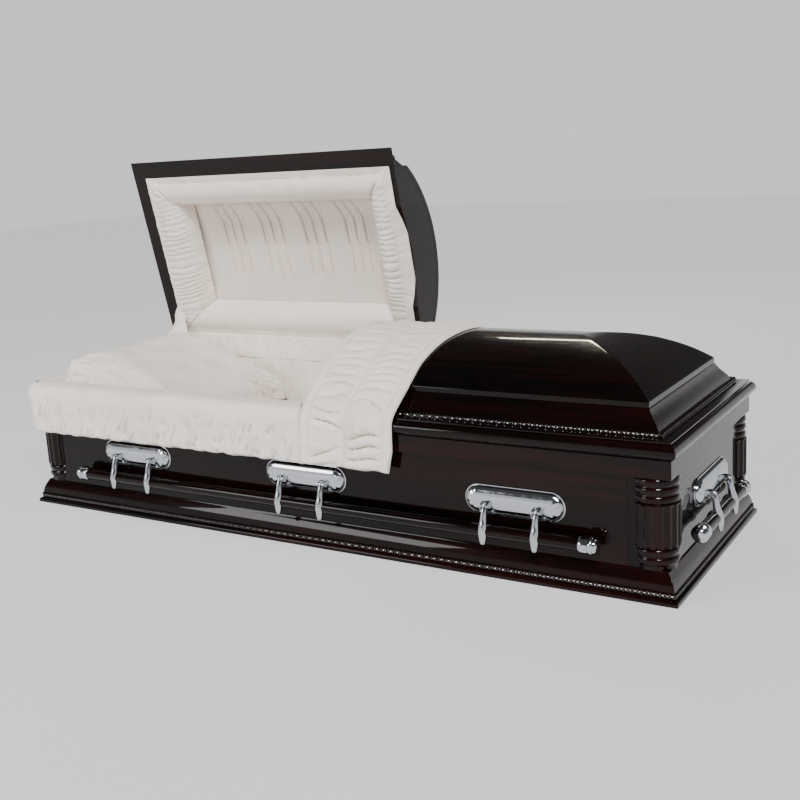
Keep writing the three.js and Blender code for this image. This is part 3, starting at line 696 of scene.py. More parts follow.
def curl(x, out, z, size, turn):
    """A small scroll that lies on a plate."""
    steps, sides = 22, 8
    angle = np.linspace(0, 1.6 * math.pi, steps)
    radius = size * (1 - 0.55 * angle / angle[-1])
    line = surface(x + turn * radius * np.cos(angle + 0.5), -out, z - radius * np.sin(angle + 0.5))
    around = np.linspace(0, 2 * math.pi, sides, endpoint=False)
    along = np.gradient(line, axis=0)
    along /= np.linalg.norm(along, axis=1)[:, None]
    side = np.cross(along, (0, -1, 0))
    thick = 1.5 * MM * np.interp(angle, [0, angle[-1]], [0.7, 1.1])
    cos, sin = np.cos(around)[None, :, None], np.sin(around)[None, :, None]
    round_it = cos * side[:, None, :] + sin * np.array([0, -1.0, 0])
    rows = line[:, None, :] + thick[:, None, None] * round_it
    return rows, tube_faces(steps, sides)


def plate_shape():
    """A long half-round plate with rounded ends, a flat border, scrolls and two pairs of ears."""
    rise, border = 15.6, 3.2
    levels = [(0, 0), (0, 1.2), (0.5, 1.8), (border - 0.6, 1.9), (border, 2.3)]
    for t in np.linspace(0.06, 1, 22):
        quarter = t * math.pi / 2
        levels.append((border + 31.8 * (1 - math.cos(quarter)), 2.3 + rise * math.sin(quarter)))
    rings = []
    for inset, depth in levels:
        line = stadium(*PLATE, inset * MM)
        end = np.abs(line[:, 0]) - (PLATE[0] - PLATE[1]) / 2
        rise_here = np.full(len(line), depth * MM)
        turn = np.arctan2(line[:, 1], np.maximum(end, 1e-6))
        on_end = np.clip(end / (6 * MM), 0, 1) * math.exp(-((inset - 14) / 9) ** 2)
        rise_here += 0.8 * MM * on_end * np.cos(turn * 9)
        rings.append(surface(line[:, 0], PANEL_RECESS - 0.4 * MM - rise_here, PLATE_CENTRE + line[:, 1]))
    parts = [(np.array(rings), tube_faces(len(rings), len(rings[0])))]
    ear = 5 * MM
    turn = [(-PIVOT[0] / MM + 6.5 * math.cos(a), 6.5 * math.sin(a))
            for a in np.linspace(math.pi / 2, 1.5 * math.pi, 12)]
    outline = np.array([(-2, 10), (-7, 7.6), *turn, (-7, -7.6), (-2, -10)]) * MM
    for side in (-1, 1):
        for flank in (-1, 1):
            x = side * ARM_HALF_PITCH + flank * (5.6 * MM + ear / 2)
            ends = [surface(x + s * ear / 2, outline[:, 0], PIVOT[1] + outline[:, 1]) for s in (-1, 1)]
            parts.append((np.array(ends), tube_faces(2, len(outline))))
            parts.append(curl(side * ARM_HALF_PITCH + flank * 19 * MM, 2 * MM, 172 * MM, 5.5 * MM, flank))
    return merged(*parts)


def arm_shape():
    """A faceted arm: it hangs from its eye, is widest at the seat of the bar and tapers to a square tip."""
    stations = [  # outward, height, half width, half depth
        (15, 189.5, 4.4, 4.8), (18, 186, 5.0, 5.6), (20.5, 178, 6.8, 6.2), (23, 168, 8.2, 7.0),
        (25, 157, 9.6, 7.8), (27.5, 146, 10.8, 8.8), (30, 136, 11.9, 10.2), (32, 126, 12.3, 10.6),
        (33.5, 116, 11.7, 9.2), (34.6, 107, 10.2, 7.2), (35.6, 99, 8.3, 5.4), (36.0, 94.5, 6.9, 4.2),
        (36.0, 93.2, 5.6, 3.2)]
    table = np.array(stations)
    centre = table[:, :2]
    along = np.gradient(centre, axis=0)
    along /= np.linalg.norm(along, axis=1)[:, None]
    outward = np.stack([-along[:, 1], along[:, 0]], 1)
    section = np.array([(1, 0.1), (0.86, 0.62), (0.34, 0.97), (0.22, 1.06), (-0.30, 0.97), (-0.86, 0.62),
                        (-1, 0.1), (-0.92, -0.7), (-0.5, -1), (0.5, -1), (0.92, -0.7)])
    rows = []
    for (_, _, width, depth), middle, out in zip(table, centre, outward):
        across, lift = section[:, 0] * width, section[:, 1] * depth
        rows.append(surface(across, -(middle[0] + lift * out[0]), middle[1] + lift * out[1]) * MM)
    blade = np.array(rows), tube_faces(len(rows), len(section))
    eye = lathe(np.array([(5.4, -5), (6.3, -4.4), (6.3, 4.4), (5.4, 5)]) * MM, 28)
    knob = ball((0, -20.5 * MM, 190 * MM), 6.0 * MM)
    band = [(17.6, -6.5), (19.6, -6), (20.4, -3.5), (20.4, 3.5), (19.6, 6), (17.6, 6.5)]
    collar = lathe(np.array(band) * MM, 40)
    return merged(blade, (eye[0] + np.array([0, -PIVOT[0], PIVOT[1]]), eye[1]), knob,
                  (collar[0] + np.array([0, -BAR[0], BAR[1]]), collar[1]))


def tip_shape(half, sign, steps):
    """A barrel tip with a ring and a rounded nose, at one end of a bar."""
    turned = [(17.4, 47.5), (19.4, 47), (20.6, 45), (21.2, 40), (21.4, 33), (21.2, 27), (20.6, 23.6),
              (19.4, 22.6), (19.4, 21.6), (21.4, 20.6), (22.5, 17.5), (22.3, 14.5), (20.8, 12.4),
              (19.6, 11.8), (19.4, 9.6), (18.2, 6), (15.6, 3), (11.2, 0.9), (5.6, 0.1), (0.1, 0)]
    profile = [(r * MM, sign * (half - d * MM)) for r, d in turned]
    return lathe(profile, steps)


class CASKET_OT_handles(Operator):
    """Fit the plates, arms, bars and barrel tips on all four sides"""

    bl_idname = "casket.handles"
    bl_label = "Handles"

    def execute(self, context):
        steps = context.scene.casket_chrome.facets
        sides = {"front": (0, HALF_WIDTH), "back": (180, HALF_WIDTH), "foot_end": (90, HALF_LENGTH),
                 "head_end": (-90, HALF_LENGTH)}
        plate, arm = plate_shape(), arm_shape()
        for side, (turn, distance) in sides.items():
            turned = Matrix.Rotation(math.radians(turn), 4, "Z")
            back_to_wall = turned.inverted().to_3x3()

            def along_wall(node):
                middle = (low(node) + high(node)) / 2
                return float((back_to_wall @ Matrix.Translation(middle).translation).x)

            def wall(x):
                return turned @ Matrix.Translation((x, -distance, 0))

            body = f"{side}_handle"
            for kind, shape, holder, crease in (("plate", plate, "casket", 40), ("arm", arm, body, 48)):
                for node in [n for n in frame["nodes"] if n.startswith(f"{side}_{kind}")]:
                    set_on_wall = placed(shape, wall(along_wall(node)))
                    add_piece(f"{node}_chrome", *set_on_wall, "chrome", holder, [node], crease=crease)
            node = f"{side}_bar"
            size = high(node) - low(node)
            half = float(max(size[0], size[1])) / 2
            reach = half - 40 * MM
            place = wall(along_wall(node)) @ Matrix.Translation((0, -BAR[0], BAR[1]))
            rod = lathe([(BAR_RADIUS, -reach), (BAR_RADIUS, reach)], 48)
            finish = "wood_long" if side in ("front", "back") else "wood_cross"
            add_piece(f"{side}_bar_wood", *placed(rod, place), finish, body, [node])
            tips = merged(tip_shape(half, 1, steps), tip_shape(half, -1, steps))
            add_piece(f"{side}_bar_tips", *placed(tips, place), "chrome", body, crease=32)
        return {"FINISHED"}


# Cloth


def soft_noise(x, y, size, seed, waves=14):
    """Smooth random swells with folds about size apart, between -1 and 1."""
    draw = np.random.default_rng(seed)
    total = np.zeros(np.broadcast(x, y).shape)
    for _ in range(waves):
        turn, phase = draw.uniform(0, 2 * math.pi, 2)
        count = 2 * math.pi / (size * draw.uniform(0.7, 1.6))
        total += np.cos(count * (x * math.cos(turn) + y * math.sin(turn)) + phase)
    return total / math.sqrt(waves)


def gathers(u, v, pitch, seed, sharpness=0.55, wander=1.0):
    """Puffs with crisp valleys between them, running along v and about pitch apart in u, between 0 and 1."""
    slow = 0.42 * soft_noise(u, v * 0.35, 5 * pitch, seed)
    quick = 0.18 * soft_noise(u, v, 2.2 * pitch, seed + 1)
    drift = wander * pitch * (slow + quick)
    return np.abs(np.sin(math.pi * (u + drift) / pitch)) ** sharpness


def creases(u, v, size, seed, width=0.2):
    """Crisp creases that wander along the zeros of a soft noise, between 0 and 1."""
    return np.exp(-(soft_noise(u, v, size, seed) / width) ** 2)


def edge_round(u, v, spans, radius):
    """1 over a pad's middle, falling to 0 on its edges as a quarter round does."""
    distance = np.full(np.broadcast(u, v).shape, np.inf)
    for value, (start, end) in zip((u, v), spans):
        if start is not None:
            distance = np.minimum(distance, value - start)
        if end is not None:
            distance = np.minimum(distance, end - value)
    share = np.clip(distance / radius, 0, 1)
    return np.sqrt(np.clip(1 - (1 - share) ** 2, 0, 1))


def bell(distance, width):
    """1 at no distance, falling smoothly to 0."""
    return np.exp(-(distance / width) ** 2)


def surface_normals(points, close_rows=False):
    """Unit normals of a grid of points."""
    if close_rows:
        padded = np.concatenate([points[-1:], points, points[:1]], 0)
        down = np.gradient(padded, axis=0)[1:-1]
    else:
        down = np.gradient(points, axis=0)
    across = np.gradient(points, axis=1)
    normal = np.cross(down, across)
    return normal / np.maximum(np.linalg.norm(normal, axis=2), 1e-9)[:, :, None]


def pad(name, back, lift, body, facing, nodes=(), close_rows=False, place=unchanged,
        finish="cloth"):
    """A closed padded piece: its back lies on the grid given, its face stands off by lift.

    facing is a direction that the face looks in, or None for a ring whose face looks inward.
    """
    normal = surface_normals(back, close_rows)
    if facing is None:
        toward = back.reshape(-1, 3).mean(axis=0) - back
    else:
        toward = np.array(facing, float)
    if float((normal * toward).sum()) < 0:
        normal = -normal
    face = back + normal * lift[:, :, None]
    rows, columns = lift.shape
    count = rows * columns
    faces = grid_faces(rows, columns, close_rows)
    faces += [[count + v for v in reversed(f)] for f in faces]
    edge = []
    for column in (0, columns - 1):
        line = [r * columns + column for r in range(rows)]
        edge.append(line + line[:1] if close_rows else line)
    if not close_rows:
        edge.append(list(range(columns)))
        edge.append([(rows - 1) * columns + c for c in range(columns)])
    for line in edge:
        faces += [[a, b, b + count, a + count] for a, b in zip(line[:-1], line[1:])]
    vertices = place(np.concatenate([face.reshape(-1, 3), back.reshape(-1, 3)]))
    piece = add_piece(name, vertices, faces, finish, body, nodes, crease=75)
    return piece


def plan_grid(path, closed, profile, step, widths=None, smooth=0):
    """A profile carried round a plan path in fine steps, one size of step or one for each leg.

    smooth rounds the corners of an open path. Gives the points, their distance along the path and, for
    each row, its leg and the distances to the leg's ends.
    """
    path = np.asarray(path, float)
    inward = inward_directions(path, closed, widths)
    legs = len(path) if closed else len(path) - 1
    rows, along, leg_of, start = [], [], [], 0.0
    for i in range(legs):
        j = (i + 1) % len(path)
        length = float(np.linalg.norm(path[j] - path[i]))
        count = max(int(length / (step[i] if isinstance(step, tuple) else step)), 2)
        here, there = (path[c] + profile[:, 0, None] * inward[c] for c in (i, j))
        for t in np.arange(count) / count:
            rows.append(np.column_stack([(1 - t) * here + t * there, profile[:, 1]]))
            along.append(start + t * length)
            leg_of.append((i, t * length, (1 - t) * length))
        start += length
    if not closed:
        rows.append(np.column_stack([path[-1] + profile[:, 0, None] * inward[-1], profile[:, 1]]))
        along.append(start)
        leg_of.append((legs - 1, length, 0.0))
    points = np.array(rows)
    for _ in range(smooth):
        points[1:-1] = (points[:-2] + points[1:-1] + points[2:]) / 3
    return points, np.array(along), np.array(leg_of)


REACH_IN = 51
SHORT_END = 60 * MM


def clear_of_roll(points):
    """Keep the cloth on the edge outside the opening that the closed lid's padded roll fills."""
    depth = points[:, :2] + np.array([HALF_LENGTH, HALF_WIDTH]) - REACH_IN * MM
    over = np.clip(depth.min(axis=1), 0, None)
    nearer = depth.argmin(axis=1)
    points[np.arange(len(points)), nearer] -= over
    return points


def clear_of_lid(points):
    """Push the cloth's rounded corner out of the closed lid's outline where it stands above the edge."""
    depth = points[:, :2] + np.array([HALF_LENGTH, HALF_WIDTH])
    inside = np.flatnonzero((depth.min(axis=1) > -0.98 * MM) & (points[:, 2] > RIM_TOP + 0.4 * MM))
    nearer = depth[inside].argmin(axis=1)
    points[inside, nearer] -= depth[inside, nearer] + 2.5 * MM
    return points


class CASKET_OT_extendover(Operator):
    """Lay the padded flap over the head half's edges and hang it down the front"""

    bl_idname = "casket.extendover"
    bl_label = "Extendover"

    def execute(self, context):
        end = float(high("extendover")[0])
        path = [(-HALF_LENGTH, HALF_WIDTH - SHORT_END), (-HALF_LENGTH, -HALF_WIDTH), (end, -HALF_WIDTH)]
        self.top(path)
        self.flap(path, context.scene.casket_cloth.gather_depth)
        self.tongue()
        self.back_strip()
        return {"FINISHED"}

    def top(self, path):
        """The flat part that lies on the top edge."""
        rim, thick, width = RIM_TOP / MM, 17 * MM, 59 * MM
        over = [(REACH_IN, rim + 3), (REACH_IN - 5, rim + 1.4), (30, rim + 1), (-1, rim + 1)]
        line, v = resampled(rounded(over, 2), 3.5)
        points, u, _ = plan_grid(path, False, line * MM, 5 * MM, smooth=44)
        u, v = u[:, None], v[None, :] * MM
        swell = np.sin(math.pi * np.clip(v / width, 0, 1))
        lift = thick + 2.2 * MM * swell
        lift = lift * (0.2 + 0.8 * edge_round(u, v, ((0, None), (0, None)), thick))
        lift = lift + 1.2 * MM * soft_noise(u, v, 0.09, 11) * swell
        piece = pad("extendover_top", points, np.maximum(lift, 2 * MM), "casket", (0, 0, 1), ["extendover"],
                    place=clear_of_roll)
        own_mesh(piece)

    def flap(self, path, depth):
        """The part that rolls over the edge and hangs down, short and thin at the head end."""
        rim, corner = RIM_TOP / MM, HALF_WIDTH * 2 - SHORT_END
        shoulder = [(-1, rim + 1), (-8, rim), (-13.5, rim - 4), (-15.7, rim - 13), (-15.9, rim - 30)]
        drop = [(-15.9, rim - 60), (-15.9, rim - 100), (-15.9, rim - 141)]
        line, v = resampled(np.vstack([rounded(shoulder, 2), drop]), 3.6)
        points, u, _ = plan_grid(path, False, line * MM, 3.6 * MM, smooth=140)
        u, v = u[:, None], v[None, :] * MM
        reach, length = float(v.max()), float(u.max())
        hang = 0.24 + 0.76 * np.clip((u - corner + 30 * MM) / (45 * MM), 0, 1)
        points[:, :, 2] += np.minimum(points[:, :, 2] - (RIM_TOP - 13 * MM), 0) * (hang - 1)
        lean = u + 0.5 * v
        swell = soft_noise(lean, v * 0.22, 46 * MM, 21)
        puffs = soft_noise(lean, v * 0.24, 25 * MM, 22)
        short = np.clip(0.5 + 0.9 * soft_noise(u, v, 60 * MM, 25), 0, 1)
        strength = np.clip((v - 24 * MM) / (34 * MM), 0, 1)
        lift = np.interp(v / MM, [0, 30, 60, 110, 165], [18, 19.5, 18, 15, 12.5]) * MM
        round_corner = np.clip((u - corner + 60 * MM) / (80 * MM), 0, 1)
        lift = lift * (1 - 0.45 * (1 - round_corner) * np.clip((v - 40 * MM) / (30 * MM), 0, 1))
        lift = lift + depth * (0.42 * puffs * (0.3 + 0.7 * short) + 0.3 * swell) * strength
        lift = lift - depth * 0.95 * creases(lean, v * 0.2, 40 * MM, 26, 0.34) * strength * short
        lift = lift + 1.2 * MM * soft_noise(u, v, 0.07, 23)
        lift = lift * (0.1 + 0.9 * edge_round(u, v, ((0, length), (None, reach)), 12 * MM))
        points[:, :, 2] += 1.3 * MM * soft_noise(u, v * 0, 0.05, 24) * (v / reach) ** 3
        meets_throw = np.clip((points[:, :, 2] - RIM_TOP + 0.142) / 0.13, 0, 1)
        points[:, :, 0] += 8.5 * MM * meets_throw * np.clip(1 - (length - u) / (45 * MM), 0, 1)
        pad("extendover_flap", points, np.maximum(lift, 1.2 * MM), "casket", (0, -1, 0), place=clear_of_lid)

    def tongue(self):
        """The pulled-up tail of the cloth that leans on the open lid's corner."""
        line = np.array([(-950, 215, RIM_TOP / MM + 14), (-964, 262, 428), (-978, 296, 462), (-986, 316, 500),
                         (-988, 325, 530), (-989, 329, 556)])
        line, v = resampled(rounded(line, 2), 3.0)
        half = np.interp(v, np.array([0, 0.3, 0.55, 0.7, 0.8, 0.93, 1]) * v[-1], [92, 66, 36, 25, 27, 19, 6])
        t = np.linspace(-1, 1, 30)[None, :]
        back = surface(line[:, :1] + half[:, None] * t, line[:, 1:2], line[:, 2:]) * MM
        v = v[:, None] * MM
        ends = edge_round(v, t * 0, ((0, float(v.max())), (None, None)), 20 * MM)
        lift = 11 * MM * np.sqrt(1 - 0.93 * t ** 2) * (0.5 + 0.5 * ends)
        lift = lift - 3.2 * MM * bell(v - 0.66 * v.max(), 3.5 * MM)
        lift = lift + 1.2 * MM * soft_noise(t * 40 * MM, v * 0.5, 0.03, 28)
        piece = pad("extendover_tail", back, np.maximum(lift, 1.5 * MM), "casket", (0, -1, 0.2))
        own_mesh(piece)

    def back_strip(self):
        """The strip of cloth that carries on from the back wall up to the open lid's roll."""
        line = np.array([(313, RIM_TOP / MM - 7), (314, 390), (318, 408), (325, 429), (331, 447), (332, 453)])
        line, v = resampled(rounded(line, 2), 3.4)
        x = np.arange(-HALF_LENGTH + 48 * MM, HEAD_CUT - 4 * MM, 4.4 * MM)[:, None]
        back = surface(x, line[:, 0] * MM, line[:, 1] * MM)
        v = v[None, :] * MM
        lift = 6 * MM + 1.6 * MM * soft_noise(x + 0.4 * v, v * 0.4, 0.05, 29)
        lift = lift - 2.5 * MM * creases(x + 0.5 * v, v * 0.3, 46 * MM, 30, 0.25)
        lift = lift * (0.4 + 0.6 * edge_round(x, v, ((None, None), (None, float(v.max()))), 8 * MM))
        piece = pad("extendover_back", back, np.maximum(lift, 1.2 * MM), "casket", (0, -1, 0))
        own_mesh(piece)


class CASKET_OT_body_cloth(Operator):
    """Line the inside walls and make up the mattress"""

    bl_idname = "casket.body_cloth"
    bl_label = "Wall lining and mattress"

    def execute(self, context):
        inset = WALL_INSIDE + 0.6 * MM
        ring = np.array(BODY_RING) - inset * np.sign(BODY_RING)
        bottom, top = MATTRESS_TOP - 36 * MM, RIM_TOP - 1 * MM
        line = np.linspace((0, bottom), (0, top), 23)
        points, u, _ = plan_grid(ring, True, line, 6 * MM)
        u, v = u[:, None], (line[:, 1] - bottom)[None, :]
        folds = gathers(u, v, 42 * MM, 31, 0.75, 1.6) * 0.65 + gathers(u, v, 20 * MM, 32, 0.9, 1.6) * 0.35
        lift = 10 * MM + 4.5 * MM * (folds - 0.55) + 1.2 * MM * soft_noise(u, v, 0.08, 33)
        lift = lift - 2.4 * MM * creases(u + 0.5 * v, v * 0.35, 60 * MM, 34, 0.16)
        lift = lift * (0.2 + 0.8 * edge_round(u, v, ((None, None), (0, top - bottom)), 5 * MM))
        pad("wall_lining", points, np.maximum(lift, 1.5 * MM), "casket", None, ["body_lining"],
            close_rows=True)
        self.mattress()
        return {"FINISHED"}

    def mattress(self):
        """The thick pad on the casket's floor."""
        half_x, half_y = HALF_LENGTH - 48 * MM, HALF_WIDTH - 48 * MM
        x = np.linspace(-half_x, half_x, 140)[:, None]
        y = np.linspace(-half_y, half_y, 54)[None, :]
        floor = float(low("mattress")[2])
        crown = edge_round(x, y, ((-half_x, half_x), (-half_y, half_y)), 30 * MM)
        swell = 2.5 * MM * soft_noise(x, y, 0.30, 41) + 1.2 * MM * soft_noise(x, y, 0.09, 42)
        height = MATTRESS_TOP - 34 * MM + 30 * MM * crown + swell * crown
        pad("mattress_cloth", surface(x, y, floor), height - floor, "casket", (0, 0, 1), ["mattress"])


def fill_with_cloth(piece, voxel, pressure, frames, cap):
    """Blow the piece up as sewn cloth, keep each point within cap of where it was, and make it final."""
    scene = bpy.context.scene
    remesh = piece.modifiers.new("even_mesh", "REMESH")
    remesh.mode = "VOXEL"
    remesh.voxel_size = voxel
    settle(piece)
    before = coordinates(piece)
    cloth = piece.modifiers.new("filling", "CLOTH")
    cloth.settings.use_pressure = True
    cloth.settings.uniform_pressure_force = pressure
    cloth.settings.quality = 6
    cloth.settings.mass = 0.3
    cloth.settings.tension_stiffness = 12
    cloth.settings.compression_stiffness = 12
    cloth.settings.shear_stiffness = 6
    cloth.settings.bending_stiffness = 0.4
    cloth.settings.effector_weights.gravity = 0
    cloth.point_cache.frame_start, cloth.point_cache.frame_end = 1, frames
    for number in range(1, frames + 1):
        scene.frame_set(number)
    settle(piece)
    scene.frame_set(1)
    after = coordinates(piece)
    move = after - before
    size = np.linalg.norm(move, axis=1)
    move *= np.minimum(1, cap / np.maximum(size, 1e-9))[:, None]
    piece.data.vertices.foreach_set("co", (before + move).ravel())
    piece.data.update()


def settle(piece):
    """Turn the piece's modifiers into its mesh."""
    evaluated = piece.evaluated_get(bpy.context.evaluated_depsgraph_get())
    mesh = bpy.data.meshes.new_from_object(evaluated)
    piece.modifiers.clear()
    piece.data = mesh


def coordinates(piece):
    """The piece's points as rows of x, y and z."""
    found = np.empty(len(piece.data.vertices) * 3)
    piece.data.vertices.foreach_get("co", found)
    return found.reshape(-1, 3)


class CASKET_OT_pillow(Operator):
    """Fill the pillow and gather its corners and ends"""

    bl_idname = "casket.pillow"
    bl_label = "Pillow"

    def execute(self, context):
        lowest, highest = low("pillow"), high("pillow")
        (head, front, _), (foot, rear, top) = lowest.tolist(), highest.tolist()
        count_x, count_y = ((130, 150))
        x = np.linspace(head, foot, count_x)[:, None]
        y = np.linspace(front, rear, count_y)[None, :]
        share = (x - head) / (foot - head)
        tall = (top - MATTRESS_TOP - 8 * MM) * np.interp(share, [0, 0.25, 0.6, 1], [1.04, 1.0, 0.74, 0.34])
        side = np.abs(y) / rear
        blunt = edge_round(x, y, ((head, None), (front, rear)), 34 * MM)
        slope = edge_round(x, y, ((None, foot), (None, None)), 85 * MM)
        height = tall * blunt * slope * (1 - 0.05 * side ** 2 * share)
        height = height + 4 * MM * soft_noise(x, y, 0.16, 54) * np.minimum(height / (90 * MM), 1)
        pulled = 1 - 0.05 * (1 - side ** 3) * (2 * share - 1)
        middle = (head + foot) / 2
        back = surface(middle + (x - middle) * pulled, y, MATTRESS_TOP + 2 * MM)
        piece = pad("pillow_cloth", back, np.maximum(height, 4 * MM), "casket", (0, 0, 1), ["pillow"])
        fill_with_cloth(piece, 6.5 * MM, 4.0, 16, 12 * MM)
        shape = coordinates(piece)
        x, y, z = shape.T
        gather = np.zeros(len(shape))
        for end, reach in ((head, 1.0), (foot, 0.5)):
            for edge in (front, rear):
                dx, dy, dz = x - end, y - edge, (z - MATTRESS_TOP) * 0.55
                away = np.sqrt(dx ** 2 + dy ** 2 + dz ** 2)
                turn = np.arctan2(np.abs(dy), np.abs(dx) + np.abs(dz))
                fold = creases(turn * 0.16, away * 0.35, 30 * MM, 51, 0.28)
                swell = soft_noise(turn * 0.16, away * 0.3, 34 * MM, 55)
                gather += reach * (8 * MM * swell - 13 * MM * fold) * bell(away - 80 * MM, 90 * MM)
        near_foot = bell(foot - x, 80 * MM)
        near_front = bell(y - front, 60 * MM) * bell(z - MATTRESS_TOP, 70 * MM)
        gather += 4.5 * MM * near_foot * (gathers(y, z, 21 * MM, 52, 0.7, 1.5) - 0.6)
        gather += 3.0 * MM * near_front * (gathers(x, z, 24 * MM, 56, 0.7, 1.5) - 0.6)
        gather += 1.5 * MM * soft_noise(x, y, 0.11, 53)
        gather -= 1.6 * MM * creases(x, y * 0.5, 0.13, 57, 0.1)
        normals = np.empty(len(shape) * 3)
        piece.data.vertices.foreach_get("normal", normals)
        shape = shape + normals.reshape(-1, 3) * gather[:, None]
        shape = np.clip(shape, lowest - np.array([6, 8, 0]) * MM, highest + np.array([8, 8, 8]) * MM)
        piece.data.vertices.foreach_set("co", shape.ravel())
        piece.data.update()
        piece.data.materials.clear()
        piece.data.materials.append(material_for("cloth"))
        piece.data.shade_smooth()
        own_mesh(piece)
        return {"FINISHED"}


# The roll's section as (distance from the rim, height over the lid's underside) and the steps on its legs
ROLL_LINE = [
    (0, 1), (6, -1.5), (24, -2.5), (34, -7), (50, -10), (66, -6), (80, 6), (91, 24), (98, 46), (100, 60)]
ROLL_STEPS = {"head_lid": (9 * MM, 2.5 * MM, 9 * MM, 2.5 * MM), "foot_lid": 6 * MM}
PANEL_COUNTS = {"head_lid": (400, 64), "foot_lid": (160, 48)}
PANEL_RISE = 62 * MM
HEADER_ARCH, HEADER_REACH = 21 * MM, 14 * MM
TUCKS_MM = (-745, -708, -670, -580, -540, -500, -405, -365, -325, -235, -200, -165)
TUCK_ROWS = ((-112 * MM, -34 * MM, 1.0), (30 * MM, 74 * MM, 0.55))


class CASKET_OT_lid_cloth(Operator):
    """Line both lids: a padded roll on four sides and a panel with rows of pleat tucks"""

    bl_idname = "casket.lid_cloth"
    bl_label = "Lid linings"

    def execute(self, context):
        for lid, (_, turn) in LIDS.items():
            self.roll(context, lid, turn)
            self.panel(lid, turn)
        return {"FINISHED"}

    def bounds(self, lid):
        """The lid's hollow in plan: its low and high X, and half its width."""
        inner = 18.4 * MM
        if lid == "head_lid":
            return -HALF_LENGTH + RIM_WIDTH, HEAD_CUT - inner, HALF_WIDTH - RIM_WIDTH
        return FOOT_CUT + inner, HALF_LENGTH - RIM_WIDTH, HALF_WIDTH - RIM_WIDTH

    def roll(self, context, lid, turn):
        finish = context.scene.casket_cloth
        low_x, high_x, half = self.bounds(lid)
        path = [(low_x, -half), (high_x, -half), (high_x, half), (low_x, half)]
        end_width = 1.32
        widths = [1.04, 1.0, 1.06, end_width] if lid == "head_lid" else [1.04, end_width, 1.06, 1.0]
        cut_leg = 1 if lid == "head_lid" else 3
        line, v = resampled(rounded(ROLL_LINE, 2), 4.8)
        line = line * MM + np.array([0, LID_BOTTOM])
        points, u, rows = plan_grid(path, True, line, ROLL_STEPS[lid], widths)
        u, v = u[:, None], v[None, :] * MM
        leg, to_corner = rows[:, :1], np.minimum(rows[:, 1:2], rows[:, 2:])
        reach = float(v.max())
        shirred = (leg % 2 == 1) * np.clip(to_corner / (12 * MM), 0, 1)
        border = np.where(leg == cut_leg, 24 * MM, 5 * MM)
        span = np.clip((v - border) / (8 * MM), 0, 1) * np.clip((0.80 * reach - v) / (0.22 * reach), 0, 1)
        pitch = finish.shirr_pitch
        slope = np.where(leg == cut_leg, 0.03, 0.14)
        down = points[:, :, 1]
        folds = gathers(down + slope * v, v * 0.4, pitch, 61, 0.42, 0.9)
        folds = 0.9 * folds + 0.1 * gathers(down - 0.2 * v, v * 0.6, pitch * 0.5, 62, 0.7, 1.2)
        lift = 6 * MM + finish.shirr_depth * (folds - 0.72) * span * shirred
        flat = (leg == 0) * np.clip((26 * MM - v) / (4 * MM), 0, 1)
        ruffle = 2.2 * MM * soft_noise(u, v * 0, 0.018, 65)
        edge = np.clip((v - 29 * MM - ruffle) / (5 * MM), 0, 1)
        lift = lift + (leg == 0) * 4.0 * MM * edge - 2.0 * MM * flat
        recess = np.clip(v / (27 * MM), 0, 1) * np.clip((36 * MM - v + ruffle) / (8 * MM), 0, 1)
        points[:, :, 2] += 13 * MM * recess * (leg == 0) * np.clip(to_corner / (30 * MM), 0, 1)
        lift = lift - 4.0 * MM * bell(to_corner, 3.0 * MM) * np.clip(v / (30 * MM), 0, 1)
        corner = bell(to_corner - 10 * MM, 34 * MM) * (leg % 2 == 1)
        radiating = creases(u * 1.6, v * 0.3, 24 * MM, 66, 0.3)
        lift = lift - 2.4 * MM * corner * radiating
        lift = lift + 0.6 * MM * soft_noise(u, v, 0.06, 63) + 0.4 * MM * soft_noise(u, v * 0.2, 0.02, 64)
        across = np.clip(1 - (points[:, :1, 1] / (165 * MM)) ** 2, 0, None)
        arched = np.minimum(across * 1.25, 1) * (leg == cut_leg)
        outward = 1 if lid == "head_lid" else -1
        points[:, :, 2] += HEADER_ARCH * arched * np.clip(1 - v / (46 * MM), 0, 1)
        points[:, :, 0] += outward * HEADER_REACH * arched * np.clip(1 - v / (22 * MM), 0, 1)
        pad(f"{lid}_padded_roll", points, np.maximum(lift, 0.8 * MM), lid, (0, 0, -1), [f"{lid}_roll"],
            close_rows=True, place=turn)

    def panel(self, lid, turn):
        """The arched panel in the lid's hollow; the head lid's has two rows of tucks."""
        low_x, high_x, half = self.bounds(lid)
        thick, overlap = 15 * MM, 10 * MM
        sides = (132 * MM, 100 * MM) if lid == "head_lid" else (100 * MM, 132 * MM)
        count_x, count_y = PANEL_COUNTS[lid]
        x = np.linspace(low_x + sides[0] - overlap, high_x - sides[1] + overlap, count_x)[:, None]
        y = np.linspace(-half + 96 * MM, half - 98 * MM, count_y)[None, :]
        arch = 14 * MM * np.sin(math.pi * (y - y.min()) / (y.max() - y.min()))
        height = LID_BOTTOM + PANEL_RISE - 1 * MM + arch
        lift = thick + 1.0 * MM * soft_noise(x, y, 0.12, 71) + 0.7 * MM * soft_noise(x, y * 0.25, 0.03, 72)
        if lid == "head_lid":
            lift = lift + self.tucks(x, y)
        # The panel's crepe is darker than the cream, partly as painted shade
        pad(f"{lid}_panel", surface(x, y, height + thick), np.maximum(lift, 1 * MM), lid, (0, 0, -1),
            [f"{lid}_lining"], place=turn, finish="cloth_lining_shaded")

